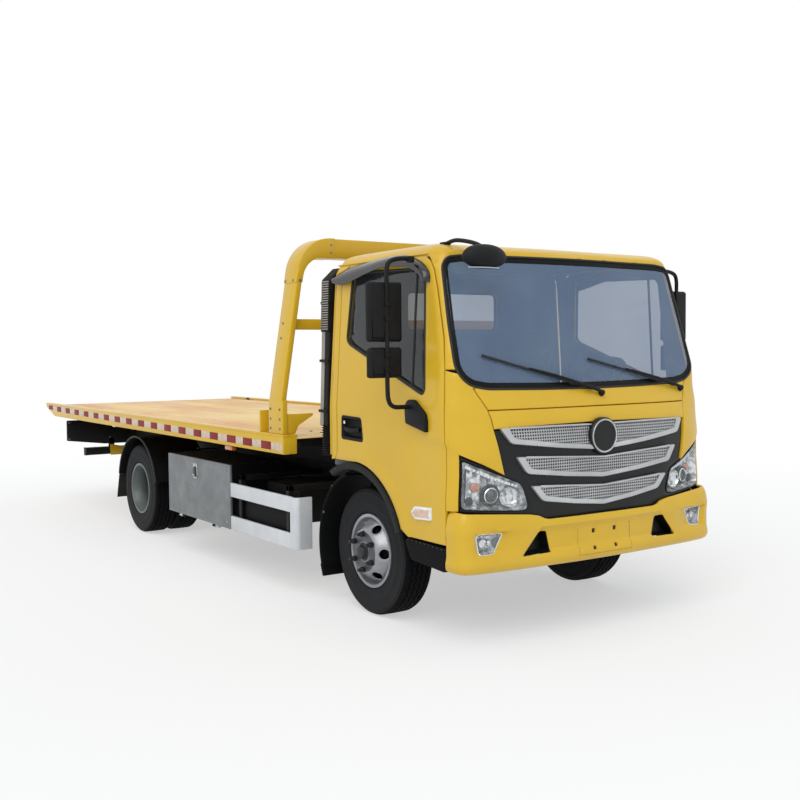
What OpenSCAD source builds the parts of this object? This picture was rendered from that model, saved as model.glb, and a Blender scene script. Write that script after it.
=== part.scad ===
// Flatbed rollback tow truck. Millimetres, +X forward, +Y to the truck's left, +Z up.
// Every module is written from the front axle: X = 0 on the axle, Z = 0 on the ground.

/* [Overall] */
// Front axle to rear axle
wheelbase = 3800; // [3300:10:4500]
// Front axle to the front of the bumper
front_overhang = 1130; // [1000:5:1300]
// Front axle back to the front edge of the deck
deck_setback = 725; // [650:5:900]
// Length of the deck
deck_length = 5660; // [5000:10:6400]

/* [Wheels] */
// Tyre outside diameter
tyre_d = 804; // [740:2:860]
// Tyre section width
tyre_w = 215; // [190:1:235]
// Radius of the bead seat of the rim
bead_r = 215; // [195:1:225]
// Distance between the front tyre centres
front_track = 1650; // [1550:5:1700]
// Distance between the centres of the twin rear wheels
rear_track = 1605; // [1550:5:1640]
// Distance between the two tyres of a twin wheel
dual_spacing = 245; // [235:1:260]
// Wheel nuts on each wheel
nuts = 6; // [5:1:8]
// Diameter of the nut circle
nut_pcd = 222; // [200:1:230]
// Running clearance of shafts and rods in their bores
fit = 0.3; // [0.2:0.1:0.6]

/* [Chassis] */
// Distance between the number plate holes across the bumper
plate_w = 210; // [180:1:240]
// Distance between the number plate holes in height
plate_h = 90; // [70:1:110]
// Radius of a number plate hole
plate_r = 4.5; // [3:0.5:6]
// Width over the frame rails
frame_w = 800; // [760:5:840]
// Depth of a frame rail
rail_h = 190; // [170:5:200]
// Width of a frame rail
rail_w = 70; // [60:2:80]
// Plate thickness of a frame rail
rail_t = 8; // [6:1:10]
// Height of the top of the frame
rail_top = 790; // [780:1:800]
// Distance of the king pins from the middle of the truck
king_y = 745; // [735:1:750]
// Radius of a king pin
king_r = 20; // [16:1:24]

/* [Cab] */
// Width of the cab over the doors
cab_w = 2020; // [1960:5:2060]
// Front axle to the back of the cab
cab_back = 370; // [340:5:420]
// Front axle to the front skin of the cab
nose = 1100; // [1080:2:1110]
// Height of the roof
roof_z = 2290; // [2260:5:2340]
// Thickness of doors and walls
wall = 45; // [40:1:55]
// Gap around a door
seam = 6; // [6:1:10]
// Thickness of the glass
glass = 8; // [6:1:10]

/* [Bed] */
// Width of the deck
deck_w = 2300; // [2200:10:2500]
// Height of the top of the deck rails
deck_z = 1095; // [1090:1:1110]
// Depth of the deck rails
deck_rail_h = 134; // [130:1:145]
// Width of the deck rails
deck_rail_w = 60; // [50:1:80]
// Height of the gantry over the ground
gantry_top = 2425; // [2380:5:2480]
// Height of the tilt pivot
pivot_z = 850; // [845:1:855]
// Distance of the tilt pivot from the rear axle
pivot_back = 1920; // [1850:5:2000]
// Radius of the tilt pivot pin
pivot_r = 25; // [20:1:30]

/* [Boxes] */
// Length of a tool box
box_l = 1220; // [1000:10:1240]
// Height of a tool box
box_h = 485; // [400:5:490]
// Depth of a tool box
box_d = 450; // [380:5:500]

/* [Hidden] */
$fn = 48;
front_axle_x = (front_overhang + deck_setback + deck_length) / 2 - front_overhang;
rear_x = -wheelbase;
tyre_r = tyre_d / 2;
rail_y = frame_w / 2;
rail_low = rail_top - rail_h;
pivot_x = rear_x - pivot_back;
frame_rear = pivot_x - 55;
half_cab = cab_w / 2;
deck_front = -deck_setback;
deck_tail = deck_front - deck_length;
half_deck = deck_w / 2;
deck_low = deck_z - deck_rail_h;
floor_z = deck_z - 25;
cab_floor_z = 965;
split_z = 2200;
arch = [-40, tyre_r, 563];
side_y = 1100;

// A box from its two corners.
module box(x0, x1, y0, y1, z0, z1) {
    translate([x0, y0, z0])
        cube([x1 - x0, y1 - y0, z1 - z0]);
}

// A side view outline drawn through the truck between two Y planes.
module across(pts, y0, y1) {
    translate([0, y1, 0])
        rotate([90, 0, 0])
            linear_extrude(y1 - y0)
                polygon(pts);
}

// A front view outline drawn along the truck between two X planes.
module along(pts, x0, x1) {
    translate([x0, 0, 0])
        rotate([90, 0, 90])
            linear_extrude(x1 - x0)
                polygon(pts);
}

// A bar with its axis along Y.
module bar_y(x, z, r, y0, y1) {
    translate([x, y0, z])
        rotate([-90, 0, 0])
            cylinder(r = r, h = y1 - y0);
}

// A bar between two points of one side view plane.
module strut(a, b, y, r) {
    d = b - a;
    translate([a[0], y, a[1]])
        rotate([0, atan2(d[0], d[1]), 0])
            cylinder(r = r, h = norm(d));
}

// The piece and its mirror image on the truck's left side.
module both_sides() {
    children();
    mirror([0, 1, 0])
        children();
}

// The right piece as drawn, or its mirror image.
module on_side(left) {
    mirror([0, left ? 1 : 0, 0])
        children();
}

function unit(v) = v / norm(v);

// A closed outline drawn anticlockwise, moved inward by d.
function inset(pts, d) = [for (i = [0 : len(pts) - 1])
    let (n = len(pts), a = pts[(i + n - 1) % n], b = pts[i], c = pts[(i + 1) % n],
        u = unit(b - a), v = unit(c - b), p = [-u[1], u[0]], q = [-v[1], v[0]])
    b + d * (p + q) / (1 + p * q)];

// A half outline with its mirror image across the first coordinate.
function mirrored(pts) = concat(pts, [for (i = [len(pts) - 1 : -1 : 0]) [-pts[i][0], pts[i][1]]]);

function arc(c, r, a0, a1, n) = [for (i = [0 : n]) c + r * [cos(a0 + (a1 - a0) * i / n),
    sin(a0 + (a1 - a0) * i / n)]];

function cab_side(low) = [[-cab_back, low], [nose, low], [nose, 1050], [nose - 14, 1200],
    [nose - 51, 1317], [nose - 105, 1415], [nose - 324, 2203], [700, roof_z - 45], [560, roof_z - 16],
    [400, roof_z], [-250, roof_z - 12], [-330, roof_z - 38], [-cab_back, roof_z - 95]];

function cab_section(low) = mirrored([[half_cab, low], [half_cab, 1300], [half_cab - 10, 1450],
    [half_cab - 55, 2130], [half_cab - 75, roof_z - 95], [half_cab - 120, roof_z - 45],
    [half_cab - 210, roof_z - 15], [half_cab - 510, roof_z + 2]]);

function cab_plan() = [[-cab_back, -half_cab + 25], [-cab_back + 25, -half_cab], [nose - 200, -half_cab],
    [nose - 150, -half_cab + 14], [nose - 105, -half_cab + 70], [nose - 62, -half_cab + 175],
    [nose - 36, -half_cab + 300], [nose - 13, -half_cab + 460], [nose, -half_cab + 760],
    [nose, half_cab - 760], [nose - 13, half_cab - 460], [nose - 36, half_cab - 300],
    [nose - 62, half_cab - 175], [nose - 105, half_cab - 70], [nose - 150, half_cab - 14],
    [nose - 200, half_cab], [-cab_back + 25, half_cab], [-cab_back, half_cab - 25]];

function door_outline() = concat([[nose - 190, 584], [nose - 203, 1300], [nose - 222, 1558],
    [nose - 368, 2110], [nose - 405, 2165], [nose - 470, split_z - 5], [-180, split_z - 5],
    [-235, 2150], [-250, 2090], [-250, cab_floor_z], [arch[0], cab_floor_z]],
    [for (a = [80 : -10 : 30]) [arch[0] + arch[2] * cos(a), arch[1] + arch[2] * sin(a)]],
    [[arch[0] + sqrt(pow(arch[2], 2) - pow(584 - arch[1], 2)), 584]]);

function window_outline() = [[-165, 1722], [-124, 1692], [672, 1410], [694, 1432], [662, 2090],
    [632, 2122], [-90, 2146], [-128, 2122]];

function screen_outline() = [[-936, 1458], [-500, 1432], [0, 1422], [500, 1432], [936, 1458],
    [917, 2150], [500, 2180], [0, split_z - 8], [-500, 2180], [-917, 2150]];

lamp_outline = [[half_cab + 5, 775], [half_cab + 5, 1045], [960, 1052], [575, 915], [545, 815], [560, 775]];

grille_outline = mirrored([[465, 674], [560 - fit, 775], [545 - fit, 815], [575 - fit, 915 + fit], [740, 974],
    [775, 1235], [300, 1258]]);

// The outer form of the cab moved inward by d, open below.
module cab_form(d, low) {
    intersection() {
        across(inset(cab_side(low), d), -half_cab - 10, half_cab + 10);
        along(inset(cab_section(low), d), -cab_back - 10, nose + 10);
        translate([0, 0, low])
            linear_extrude(roof_z + 50 - low)
                polygon(inset(cab_plan(), d));
    }
}

// The walls of the cab between two depths under the outer skin.
module cab_wall(d0, d1) {
    difference() {
        cab_form(d0, 500);
        cab_form(d1, 300);
    }
}

// Barrels of the door hinges, on the line where the door turns.
hinge_r = 10;
hinge_x = nose - 196;
module hinge_barrels(r) {
    for (z = [700, 1210])
        translate([hinge_x, -half_cab, z])
            cylinder(r = r, h = 60);
}

module door_space(left, grow) {
    on_side(left)
        across(inset(door_outline(), -grow), -half_cab - 20, -half_cab + 200);
}

module screen_space(grow) {
    along(inset(screen_outline(), -grow), 500, nose + 20);
}

module rear_window_space() {
    along(mirrored([[385, 1783], [385, 2050]]), -cab_back - 20, 0);
}

// Two C section rails, open towards each other.
module frame_rails() {
    color("#17181a")
        both_sides()
            difference() {
                box(frame_rear, nose - 70, -rail_y, -rail_y + rail_w, rail_low, rail_top);
                box(frame_rear - 1, nose, -rail_y + rail_t, -rail_y + rail_w + 1, rail_low + rail_t,
                    rail_top - rail_t);
            }
}

// Members between the webs of the rails, the cab mounts and the ears of the tilt pivot.
module frame_crossmembers() {
    color("#17181a") {
        for (x = [nose - 130, -900, -1900, -2900, rear_x - 700, frame_rear + 90])
            box(x - 40, x + 40, -rail_y + rail_t, rail_y - rail_t, rail_low + 40, rail_top - 40);
        both_sides() {
            for (x = [-cab_back + 70, nose - 380])
                box(x - 40, x + 40, -rail_y, -rail_y + rail_w, rail_top, cab_floor_z - 50);
            difference() {
                box(frame_rear, pivot_x + 70, -rail_y - 22, -rail_y, rail_low + 20, pivot_z + 45);
                bar_y(pivot_x, pivot_z, pivot_r + fit, -rail_y - 30, -rail_y + 10);
            }
        }
    }
}

// Plain engine block and gearbox with the shaft to the rear axle.
module driveline() {
    color("#3a3c3e") {
        box(-260, 600, -250, 250, 430, cab_floor_z - 60);
        box(-790, -250, -150, 150, 460, 720);
        strut([-780, 585], [rear_x + 196, 436], 0, 45);
        both_sides()
            for (x = [-230, 550])
                box(x - 30, x + 30, -rail_y + rail_t, -240, 660, 740);
    }
}

// Dropped beam with the eyes of the king pins.
module front_axle() {
    beam = mirrored([[king_y - 30, tyre_r + 40], [640, tyre_r + 40], [540, tyre_r - 32]]);
    low = mirrored([[560, tyre_r - 112], [640, tyre_r - 40], [king_y - 30, tyre_r - 40]]);
    color("#202224")
        difference() {
            union() {
                along(concat([for (i = [0 : 5]) beam[i]], [low[3], low[4], low[5], low[0], low[1], low[2]]),
                    -36, 36);
                both_sides()
                    translate([0, -king_y, tyre_r - 45])
                        cylinder(r = 38, h = 90);
            }
            both_sides()
                translate([0, -king_y, tyre_r - 60])
                    cylinder(r = king_r + fit, h = 120);
        }
}

// Banjo housing, tubes and the stub axles of the twin wheels.
module rear_axle() {
    color("#202224")
        translate([rear_x, 0, tyre_r]) {
            sphere(r = 190);
            bar_y(0, 0, 65, -rear_track / 2 + 215, rear_track / 2 - 215);
            bar_y(0, 0, 56, -rear_track / 2 - 90, rear_track / 2 + 90);
        }
}

// Leaf packs with their hangers under the rails.
module leaf_springs() {
    // x of the axle, seat height, half length
    springs = [[0, tyre_r - 32, 640], [rear_x, tyre_r + 65, 700]];
    color("#202224")
        for (s = springs) {
            rise = rail_low - s[1];
            both_sides()
                across([[s[0] - s[2], rail_low], [s[0] - s[2], rail_low - 70],
                    [s[0] - s[2] / 2, s[1] + rise * 0.3], [s[0] - 60, s[1]], [s[0] + 60, s[1]],
                    [s[0] + s[2] / 2, s[1] + rise * 0.3], [s[0] + s[2], rail_low - 70],
                    [s[0] + s[2], rail_low], [s[0] + s[2] - 60, rail_low], [s[0] + s[2] - 66, rail_low - 42],
                    [s[0] + s[2] / 2, s[1] + rise * 0.3 + 36], [s[0], s[1] + 56],
                    [s[0] - s[2] / 2, s[1] + rise * 0.3 + 36], [s[0] - s[2] + 66, rail_low - 42],
                    [s[0] - s[2] + 60, rail_low]], -rail_y, -rail_y + rail_w);
        }
}

function bumper_plan() = [[nose - 186, -half_cab - 5], [nose - 125, -half_cab], [nose - 80, -half_cab + 35],
    [nose - 50, -half_cab + 100], [nose - 27, -half_cab + 180], [nose - 5, -half_cab + 360],
    [front_overhang - 20, -half_cab + 560], [front_overhang, -half_cab + 810],
    [front_overhang, half_cab - 810], [front_overhang - 20, half_cab - 560], [nose - 5, half_cab - 360],
    [nose - 27, half_cab - 180], [nose - 50, half_cab - 100], [nose - 80, half_cab - 35],
    [nose - 125, half_cab], [nose - 186, half_cab + 5]];

// Wrapped bumper with two slanted openings, lamp holes and mounts on the rail ends.
module front_bumper() {
    color("#f2b705")
        difference() {
            union() {
                intersection() {
                    translate([0, 0, 420])
                        linear_extrude(400)
                            difference() {
                                polygon(bumper_plan());
                                polygon(inset(bumper_plan(), 28));
                                translate([nose - 230, -half_cab + 24])
                                    square([80, cab_w - 48]);
                            }
                    along(mirrored([[950, 420], [half_cab + 10, 445], [half_cab + 10, 765], [555, 757],
                        [466, 664]]), nose - 200, front_overhang + 1);
                }
                both_sides()
                    box(nose - 70, front_overhang - 20, -rail_y + 6, -rail_y + rail_w - 6, 610, 660);
            }
            both_sides()
                along([[-608, 507], [-400, 507], [-436, 620], [-560, 620]], nose - 60, front_overhang + 1);
            both_sides()
                translate([nose - 110, -832, 592])
                    rotate([0, 90, 0])
                        cylinder(r = 52, h = 120);
            for (y = [-plate_w / 2, plate_w / 2], z = [545 - plate_h / 2, 545 + plate_h / 2])
                translate([nose, y, z])
                    rotate([0, 90, 0])
                        cylinder(r = plate_r, h = 60);
        }
}

// Fog lamps in the bumper and the lamp units on the tail panel.
module chassis_lamps() {
    color("#d8dadc") {
        both_sides()
            translate([nose - 75, -832, 592])
                rotate([0, 90, 0])
                    cylinder(r = 52, h = 44);
        both_sides()
            box(frame_rear - 70, frame_rear - 28, -1070, -750, 760, 880);
    }
}

// Closed steps under the doors behind the bumper ends.
module front_steps() {
    color("#17181a")
        both_sides() {
            box(510, nose - 192, -half_cab + 12, -half_cab + 240, 440, 562);
            box(560, 640, -half_cab + 240, -rail_y, 480, 560);
            box(560, 640, -rail_y - 12, -rail_y, 480, 700);
        }
}

// Shells behind the front wheels with their flaps.
module front_mudguards() {
    color("#17181a")
        both_sides() {
            translate([0, -half_cab + 10, tyre_r])
                rotate([90, 0, 0])
                    translate([0, 0, -290])
                        linear_extrude(290)
                            polygon(concat(arc([0, 0], 500, 108, 205, 12), arc([0, 0], 484, 205, 108, 12)));
            box(-460, -410, -half_cab + 260, -rail_y, 640, 700);
        }
}

// Half round shells over the twin wheels with flaps behind.
module rear_mudguards() {
    shell_r = tyre_r + 63;
    color("#17181a")
        translate([rear_x, 0, 0])
            both_sides() {
                across(concat(arc([0, tyre_r], shell_r + 14, 12, 168, 20), arc([0, tyre_r], shell_r, 168, 12, 20)),
                    -1060, -560);
                across([[-shell_r - 12, tyre_r + 110], [-shell_r + 2, tyre_r + 110],
                    [-shell_r - 78, 262], [-shell_r - 90, 262]], -1060, -560);
                for (x = [-310, 310])
                    box(x - 14, x + 14, -600, -rail_y, 750, 766);
            }
}

// Hinge barrels under the front of a tool box, spread by a share of its half length.
box_x = -1685;
box_low = 320;
box_hinge_z = box_low - 12;
module box_hinge(at, half) {
    for (s = [-1, 1]) {
        x = box_x - box_l / 2 + s * at;
        translate([x - half, -side_y + 11, box_hinge_z])
            rotate([0, 90, 0])
                cylinder(r = 10, h = 2 * half);
    }
}

// Open fronted boxes that hang beside the rails.
module toolboxes() {
    x1 = box_x;
    z0 = box_low;
    color("#b9bcbf")
        both_sides() {
            box_hinge(300, 30);
            for (s = [-300, 300])
                box(x1 - box_l / 2 + s - 30, x1 - box_l / 2 + s + 30, -side_y + 11, -side_y + 60, z0 - 22, z0);
            difference() {
                box(x1 - box_l, x1, -side_y + 22, -side_y + 22 + box_d, z0, z0 + box_h);
                box(x1 - box_l + 20, x1 - 20, -side_y, -side_y + 2 + box_d, z0 + 20, z0 + box_h - 20);
            }
            for (x = [x1 - box_l + 200, x1 - 200])
                box(x - 30, x + 30, -side_y + 22 + box_d, -rail_y, 640, 720);
        }
}

// Drop down front of a tool box.
module toolbox_door() {
    x1 = box_x;
    z0 = box_low;
    box(x1 - box_l, x1, -side_y, -side_y + 22 - fit, z0, z0 + box_h);
    box_hinge(361, 30);
    for (s = [-361, 361])
        box(x1 - box_l / 2 + s - 30, x1 - box_l / 2 + s + 30, -side_y + 6, -side_y + 16, box_hinge_z, z0 + 1);
}

module toolbox_door_right() {
    color("#c4c7c9")
        toolbox_door();
}

module toolbox_door_left() {
    color("#c4c7c9")
        on_side(true)
            toolbox_door();
}

// Two rails a side on a wrapped front plate, with stays to the frame.
module side_guards() {
    x0 = -1680;
    x1 = -652;
    color("#d9dbdc")
        both_sides() {
            for (z = [320, 568])
                box(x0, x1 - 40, -side_y, -side_y + 24, z, z + 105);
            box(x1 - 80, x1, -side_y, -side_y + 24, 320, 673);
            box(x1 - 24, x1, -side_y, -side_y + 125, 320, 673);
            for (x = [x0 + 120, x1 - 160]) {
                box(x - 20, x + 20, -side_y + 24, -side_y + 44, 320, 673);
                box(x - 20, x + 20, -side_y + 24, -rail_y, 700, 740);
                box(x - 20, x + 20, -side_y + 24, -side_y + 64, 640, 740);
            }
        }
}

// Fuel tank on the left, battery box on the right.
module side_tanks() {
    color("#2a2c2e") {
        box(-1480, -900, 470, 960, 330, 690);
        box(-1480, -1440, rail_y, 500, 610, 690);
        box(-940, -900, rail_y, 500, 610, 690);
        box(-1460, -960, -900, -470, 440, 690);
        box(-1460, -960, -480, -rail_y, 610, 690);
    }
}

// Muffler under the frame with its hangers and pipes.
module exhaust() {
    color("#55524e") {
        translate([-2700, 230, 470])
            rotate([0, 90, 0])
                cylinder(r = 110, h = 620);
        translate([-2090, 230, 470])
            rotate([0, 90, 0])
                cylinder(r = 35, h = 1280);
        bar_y(-2680, 470, 35, 320, 560);
        for (x = [-2640, -2160])
            box(x - 20, x + 20, rail_y - rail_w - 100, rail_y - rail_w + 60, 560, rail_low);
    }
}

// Lamp panel with the underrun bar on its hangers, on the ends of the rails.
module tail_panel() {
    color("#141516") {
        along(mirrored([[690, 655], [1102, 705], [1102, 925], [690, 925], [600, 835]]), frame_rear - 28, frame_rear);
        both_sides()
            box(frame_rear - 28, frame_rear, -650, -590, 560, 720);
        box(frame_rear - 80, frame_rear, -900, 900, 540, 620);
    }
}

// Floor with a tunnel between two foot wells.
module cab_floor() {
    well_z = 640;
    color("#3b3d40") {
        box(-cab_back, 500, -half_cab + 52, half_cab - 52, cab_floor_z - 50, cab_floor_z);
        box(490, nose - 120, -rail_y - 60, rail_y + 60, cab_floor_z - 50, cab_floor_z);
        both_sides() {
            box(500, 540, -half_cab + 52, -rail_y - 20, well_z, cab_floor_z);
            box(500, nose - 160, -half_cab + 75, -rail_y - 20, well_z, well_z + 40);
            box(500, nose - 110, -rail_y - 60, -rail_y - 20, well_z, cab_floor_z);
        }
    }
}

// Rear wall with the rear corners and the window cut out.
module cab_back_wall() {
    color("#f2b705")
        difference() {
            cab_wall(0, wall);
            box(-600, nose + 50, -1500, 1500, split_z, 3000);
            box(300, nose + 50, -1500, 1500, 0, 3000);
            box(-600, nose + 50, -1500, 1500, 0, cab_floor_z);
            for (left = [false, true])
                door_space(left, seam / 2);
            rear_window_space();
        }
}

// Roof skin above the doors and the screens.
module cab_roof() {
    color("#f2b705")
        difference() {
            cab_wall(0, wall);
            box(-600, nose + 50, -1500, 1500, 0, split_z);
        }
}

// Front panel and screen pillars, with pockets for lamps and grille.
module cab_front() {
    color("#f2b705")
        difference() {
            cab_wall(0, wall);
            box(-600, nose + 50, -1500, 1500, split_z, 3000);
            box(-600, 300, -1500, 1500, 0, 3000);
            box(-600, nose - 300, -1500, 1500, 0, 1200);
            both_sides()
                hinge_barrels(hinge_r + fit);
            along(mirrored([[1100, 400], [1100, 775], [560, 775], [465, 674]]), 300, nose + 50);
            for (left = [false, true])
                door_space(left, seam / 2);
            screen_space(0);
            lamp_space();
            along(inset(grille_outline, -fit), nose - 150, nose + 50);
        }
}

// Windscreen and rear window.
module cab_glass() {
    color("#26343a") {
        intersection() {
            cab_wall(3, 3 + glass);
            screen_space(0);
        }
        intersection() {
            cab_wall(20, 20 + glass);
            rear_window_space();
        }
    }
}

// Black panel between the lamps.
module grille() {
    color("#101112")
        intersection() {
            cab_wall(0, 40);
            along(grille_outline, nose - 150, nose + 50);
        }
}

module lamp_space() {
    both_sides()
        along(lamp_outline, nose - 145, nose + 50);
}

// Wrapped head lamps.
module headlamps() {
    color("#cfd6da")
        intersection() {
            cab_wall(0, 40);
            lamp_space();
        }
}

// Dashboard on its console with the steering column, and the bench seats.
module cab_interior() {
    seat_z = 1250;
    color("#3c3e42") {
        across([[690, 1140], [860, 1120], [900, 1330], [840, 1390], [700, 1360]], -half_cab + 110, half_cab - 110);
        box(720, 860, -250, 250, cab_floor_z, 1140);
        strut([720, 1250], [574, 1420], 480, 28);
        // middle of the seat, width
        seats = [[480, 520], [-220, 800]];
        for (s = seats) {
            box(-230, 330, s[0] - s[1] / 2, s[0] + s[1] / 2, seat_z - 150, seat_z);
            across([[-230, seat_z], [-90, seat_z], [-178, 1780], [-288, 1780]], s[0] - s[1] / 2, s[0] + s[1] / 2);
            box(-200, 300, s[0] - s[1] / 2 + 40, s[0] + s[1] / 2 - 40, cab_floor_z, seat_z - 150);
        }
    }
}

// Steering wheel at the end of the column.
module steering_wheel() {
    color("#18191b")
        translate([574, 480, 1420])
            rotate([0, atan2(-146, 170), 0])
                translate([0, 0, fit]) {
                    cylinder(r = 45, h = 40);
                    translate([0, 0, 40])
                        rotate_extrude($fn = 64)
                            translate([205, 0])
                                circle(r = 16, $fn = 20);
                    for (a = [30, 150, 270])
                        rotate([0, 0, a])
                            translate([0, -14, 22])
                                cube([200, 28, 14]);
                }
}

// Flares along the wheel openings of the cab.
module arch_trims() {
    color("#141516")
        both_sides()
            across(concat([[-cab_back, arch[1] + 513], [arch[0], arch[1] + 513]], arc([arch[0], arch[1]], 513, 80, 20, 8),
                arc([arch[0], arch[1]], arch[2] - seam, 20, 80, 8),
                [[arch[0], arch[1] + arch[2] - seam], [-cab_back, arch[1] + arch[2] - seam]]),
                -half_cab - 14, -half_cab + 52);
}

// Small mirror on an arm at the top of the screen.
module kerb_mirror() {
    color("#141516") {
        translate([1000, -800, 2158])
            scale([0.6, 1.3, 0.72])
                sphere(r = 100);
        difference() {
            strut([nose - 400, 2215], [1000, 2190], -810, 13);
            cab_form(-fit, 500);
        }
    }
}

// Raised air intake with a louvred head, duct and bellows, leaning in beside the cab.
module air_intake() {
    duct_front = -cab_back - 65;
    duct_rear = duct_front - 105;
    color("#2b2d2f") {
        along([[-980, 1150], [-875, 1150], [-838, 2200], [-860, 2200], [-944, 2120]], duct_rear, duct_front);
        translate([(duct_front + duct_rear) / 2, -927, cab_floor_z])
            cylinder(r = 48, h = 186);
        for (z = [1250, 1960])
            box(duct_front - 10, -cab_back, -930, -890, z, z + 50);
    }
}

// Door as drawn for the right side, hollowed by its window.
module door() {
    difference() {
        intersection() {
            cab_wall(0, wall);
            door_space(false, -seam / 2);
        }
        across(window_outline(), -half_cab - 20, 0);
    }
    hinge_barrels(hinge_r);
    for (z = [700, 1210])
        box(hinge_x - 30, hinge_x, -half_cab, -half_cab + 8, z, z + 60);
}

module door_right() {
    color("#f2b705")
        door();
}

module door_left() {
    color("#f2b705")
        on_side(true)
            door();
}

module door_glass() {
    intersection() {
        cab_wall(14, 14 + glass);
        across(window_outline(), -half_cab - 20, 0);
    }
}

module door_glass_right() {
    color("#26343a")
        door_glass();
}

module door_glass_left() {
    color("#26343a")
        on_side(true)
            door_glass();
}

// Tube bracket with a large and a small mirror housing.
module mirror_arm() {
    tube_x = 605;
    tube_y = -1180;
    difference() {
        union() {
            translate([tube_x, tube_y, 1330])
                cylinder(r = 14, h = 790);
            bar_y(tube_x, 1340, 14, tube_y, -half_cab + 20);
            bar_y(tube_x, 2100, 14, tube_y, -half_cab + 90);
            box(tube_x - 55, tube_x + 70, -half_cab - 22, -half_cab + 20, 1240, 1370);
            box(tube_x - 40, tube_x + 40, -half_cab + 20, -half_cab + 80, 2080, 2125);
        }
        cab_form(-fit, 500);
    }
    box(tube_x - 45, tube_x + 45, tube_y - 118, tube_y + 112, 1703, 2040);
    box(tube_x - 45, tube_x + 45, tube_y - 118, tube_y + 112, 1500, 1672);
}

module mirror_right() {
    color("#141516")
        mirror_arm();
}

module mirror_left() {
    color("#141516")
        on_side(true)
            mirror_arm();
}

// Steering knuckle with king pin and stub axle.
module knuckle() {
    color("#26282a") {
        translate([0, -king_y, tyre_r - 118])
            cylinder(r = king_r, h = 236);
        for (z = [tyre_r - 95, tyre_r + 46])
            box(-40, 40, -king_y - 55, -king_y + 38, z, z + 49);
        box(-45, 45, -king_y - 55, -king_y - 42, tyre_r - 95, tyre_r + 95);
        bar_y(0, tyre_r, 40, -front_track / 2 - 60, -king_y - 50);
    }
}

module knuckle_right() {
    knuckle();
}

module knuckle_left() {
    on_side(true)
        knuckle();
}

// Solid of revolution about the wheel axis, outward side along +Z of the sketch.
module wheel_turn(pts, x, y) {
    translate([x, y, tyre_r])
        rotate([90, 0, 0])
            rotate_extrude($fn = 72)
                polygon(pts);
}

// Tyre section without tread, one side mirrored on the other.
function tyre_section() = mirrored_w([[bead_r + fit, -84], [bead_r + 19, -84], [bead_r + 24, -tyre_w / 2 + 5],
    [tyre_r * 0.78, -tyre_w / 2], [tyre_r * 0.9, -tyre_w / 2 + 3], [tyre_r * 0.97, -tyre_w / 2 + 15],
    [tyre_r, -tyre_w / 2 + 36]]);

function mirrored_w(pts) = concat(pts, [for (i = [len(pts) - 1 : -1 : 0]) [pts[i][0], -pts[i][1]]]);

function barrel(w0, w1) = [[bead_r - 12, w0], [bead_r + 17, w0], [bead_r + 17, w0 + 12], [bead_r, w0 + 15],
    [bead_r, w1 - 15], [bead_r + 17, w1 - 12], [bead_r + 17, w1], [bead_r - 12, w1]];

module nut_ring(w) {
    for (i = [0 : nuts - 1])
        rotate([0, 0, (i + 0.5) * 360 / nuts])
            translate([nut_pcd / 2, 0, w])
                cylinder(r = 16, h = 30, $fn = 16);
}

module hand_holes(r, n, hole_r) {
    for (i = [0 : n - 1])
        rotate([0, 0, i * 360 / n])
            translate([r, 0, -150])
                cylinder(r = hole_r, h = 300, $fn = 24);
}

// Front rim with its bulged disc, hub and nuts.
module front_rim() {
    disc = [[0, 66], [0, 148], [40, 148], [50, 108], [135, 106], [165, 94], [190, 70], [bead_r - 11, 56],
        [bead_r - 11, 38], [182, 56], [158, 78], [130, 88], [78, 88], [78, -18], [40 + fit, -18], [40 + fit, 66]];
    color("#c9cccd") {
        wheel_turn(barrel(-100, 100), 0, -front_track / 2);
        difference() {
            wheel_turn(disc, 0, -front_track / 2);
            translate([0, -front_track / 2, tyre_r])
                rotate([90, 0, 0])
                    hand_holes(163, 6, 30);
        }
        translate([0, -front_track / 2, tyre_r])
            rotate([90, 0, 0])
                nut_ring(102);
    }
}

module rim_front_right() {
    front_rim();
}

module rim_front_left() {
    on_side(true)
        front_rim();
}

// Twin rims on one hub, the outer one dished.
module rear_rim() {
    s = dual_spacing / 2;
    outer_disc = [[60, 0], [150, 0], [176, 36], [bead_r - 11, 52], [bead_r - 11, 68], [166, 50], [144, 15], [60, 15]];
    hub = [[0, 95], [0, 135], [50, 135], [56, 118], [80, 112], [80, -150], [56 + fit, -150], [56 + fit, 95]];
    color("#b9bdbb") {
        for (w = [-s, s])
            wheel_turn(barrel(w - 100, w + 100), rear_x, -rear_track / 2);
        difference() {
            union() {
                wheel_turn(outer_disc, rear_x, -rear_track / 2);
                wheel_turn([for (p = outer_disc) [p[0], -p[1]]], rear_x, -rear_track / 2);
            }
            translate([rear_x, -rear_track / 2, tyre_r])
                rotate([90, 0, 0])
                    hand_holes(172, 6, 22);
        }
        wheel_turn(hub, rear_x, -rear_track / 2);
        translate([rear_x, -rear_track / 2, tyre_r])
            rotate([90, 0, 0])
                nut_ring(12);
    }
}

module rim_rear_right() {
    rear_rim();
}

module rim_rear_left() {
    on_side(true)
        rear_rim();
}

module front_tyre() {
    color("#1a1b1c")
        wheel_turn(tyre_section(), 0, -front_track / 2);
}

module tyre_front_right() {
    front_tyre();
}

module tyre_front_left() {
    on_side(true)
        front_tyre();
}

module rear_tyres() {
    color("#1a1b1c")
        for (w = [-1, 1])
            wheel_turn(tyre_section(), rear_x, -rear_track / 2 + w * dual_spacing / 2);
}

module tyre_rear_right() {
    rear_tyres();
}

module tyre_rear_left() {
    on_side(true)
        rear_tyres();
}

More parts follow.
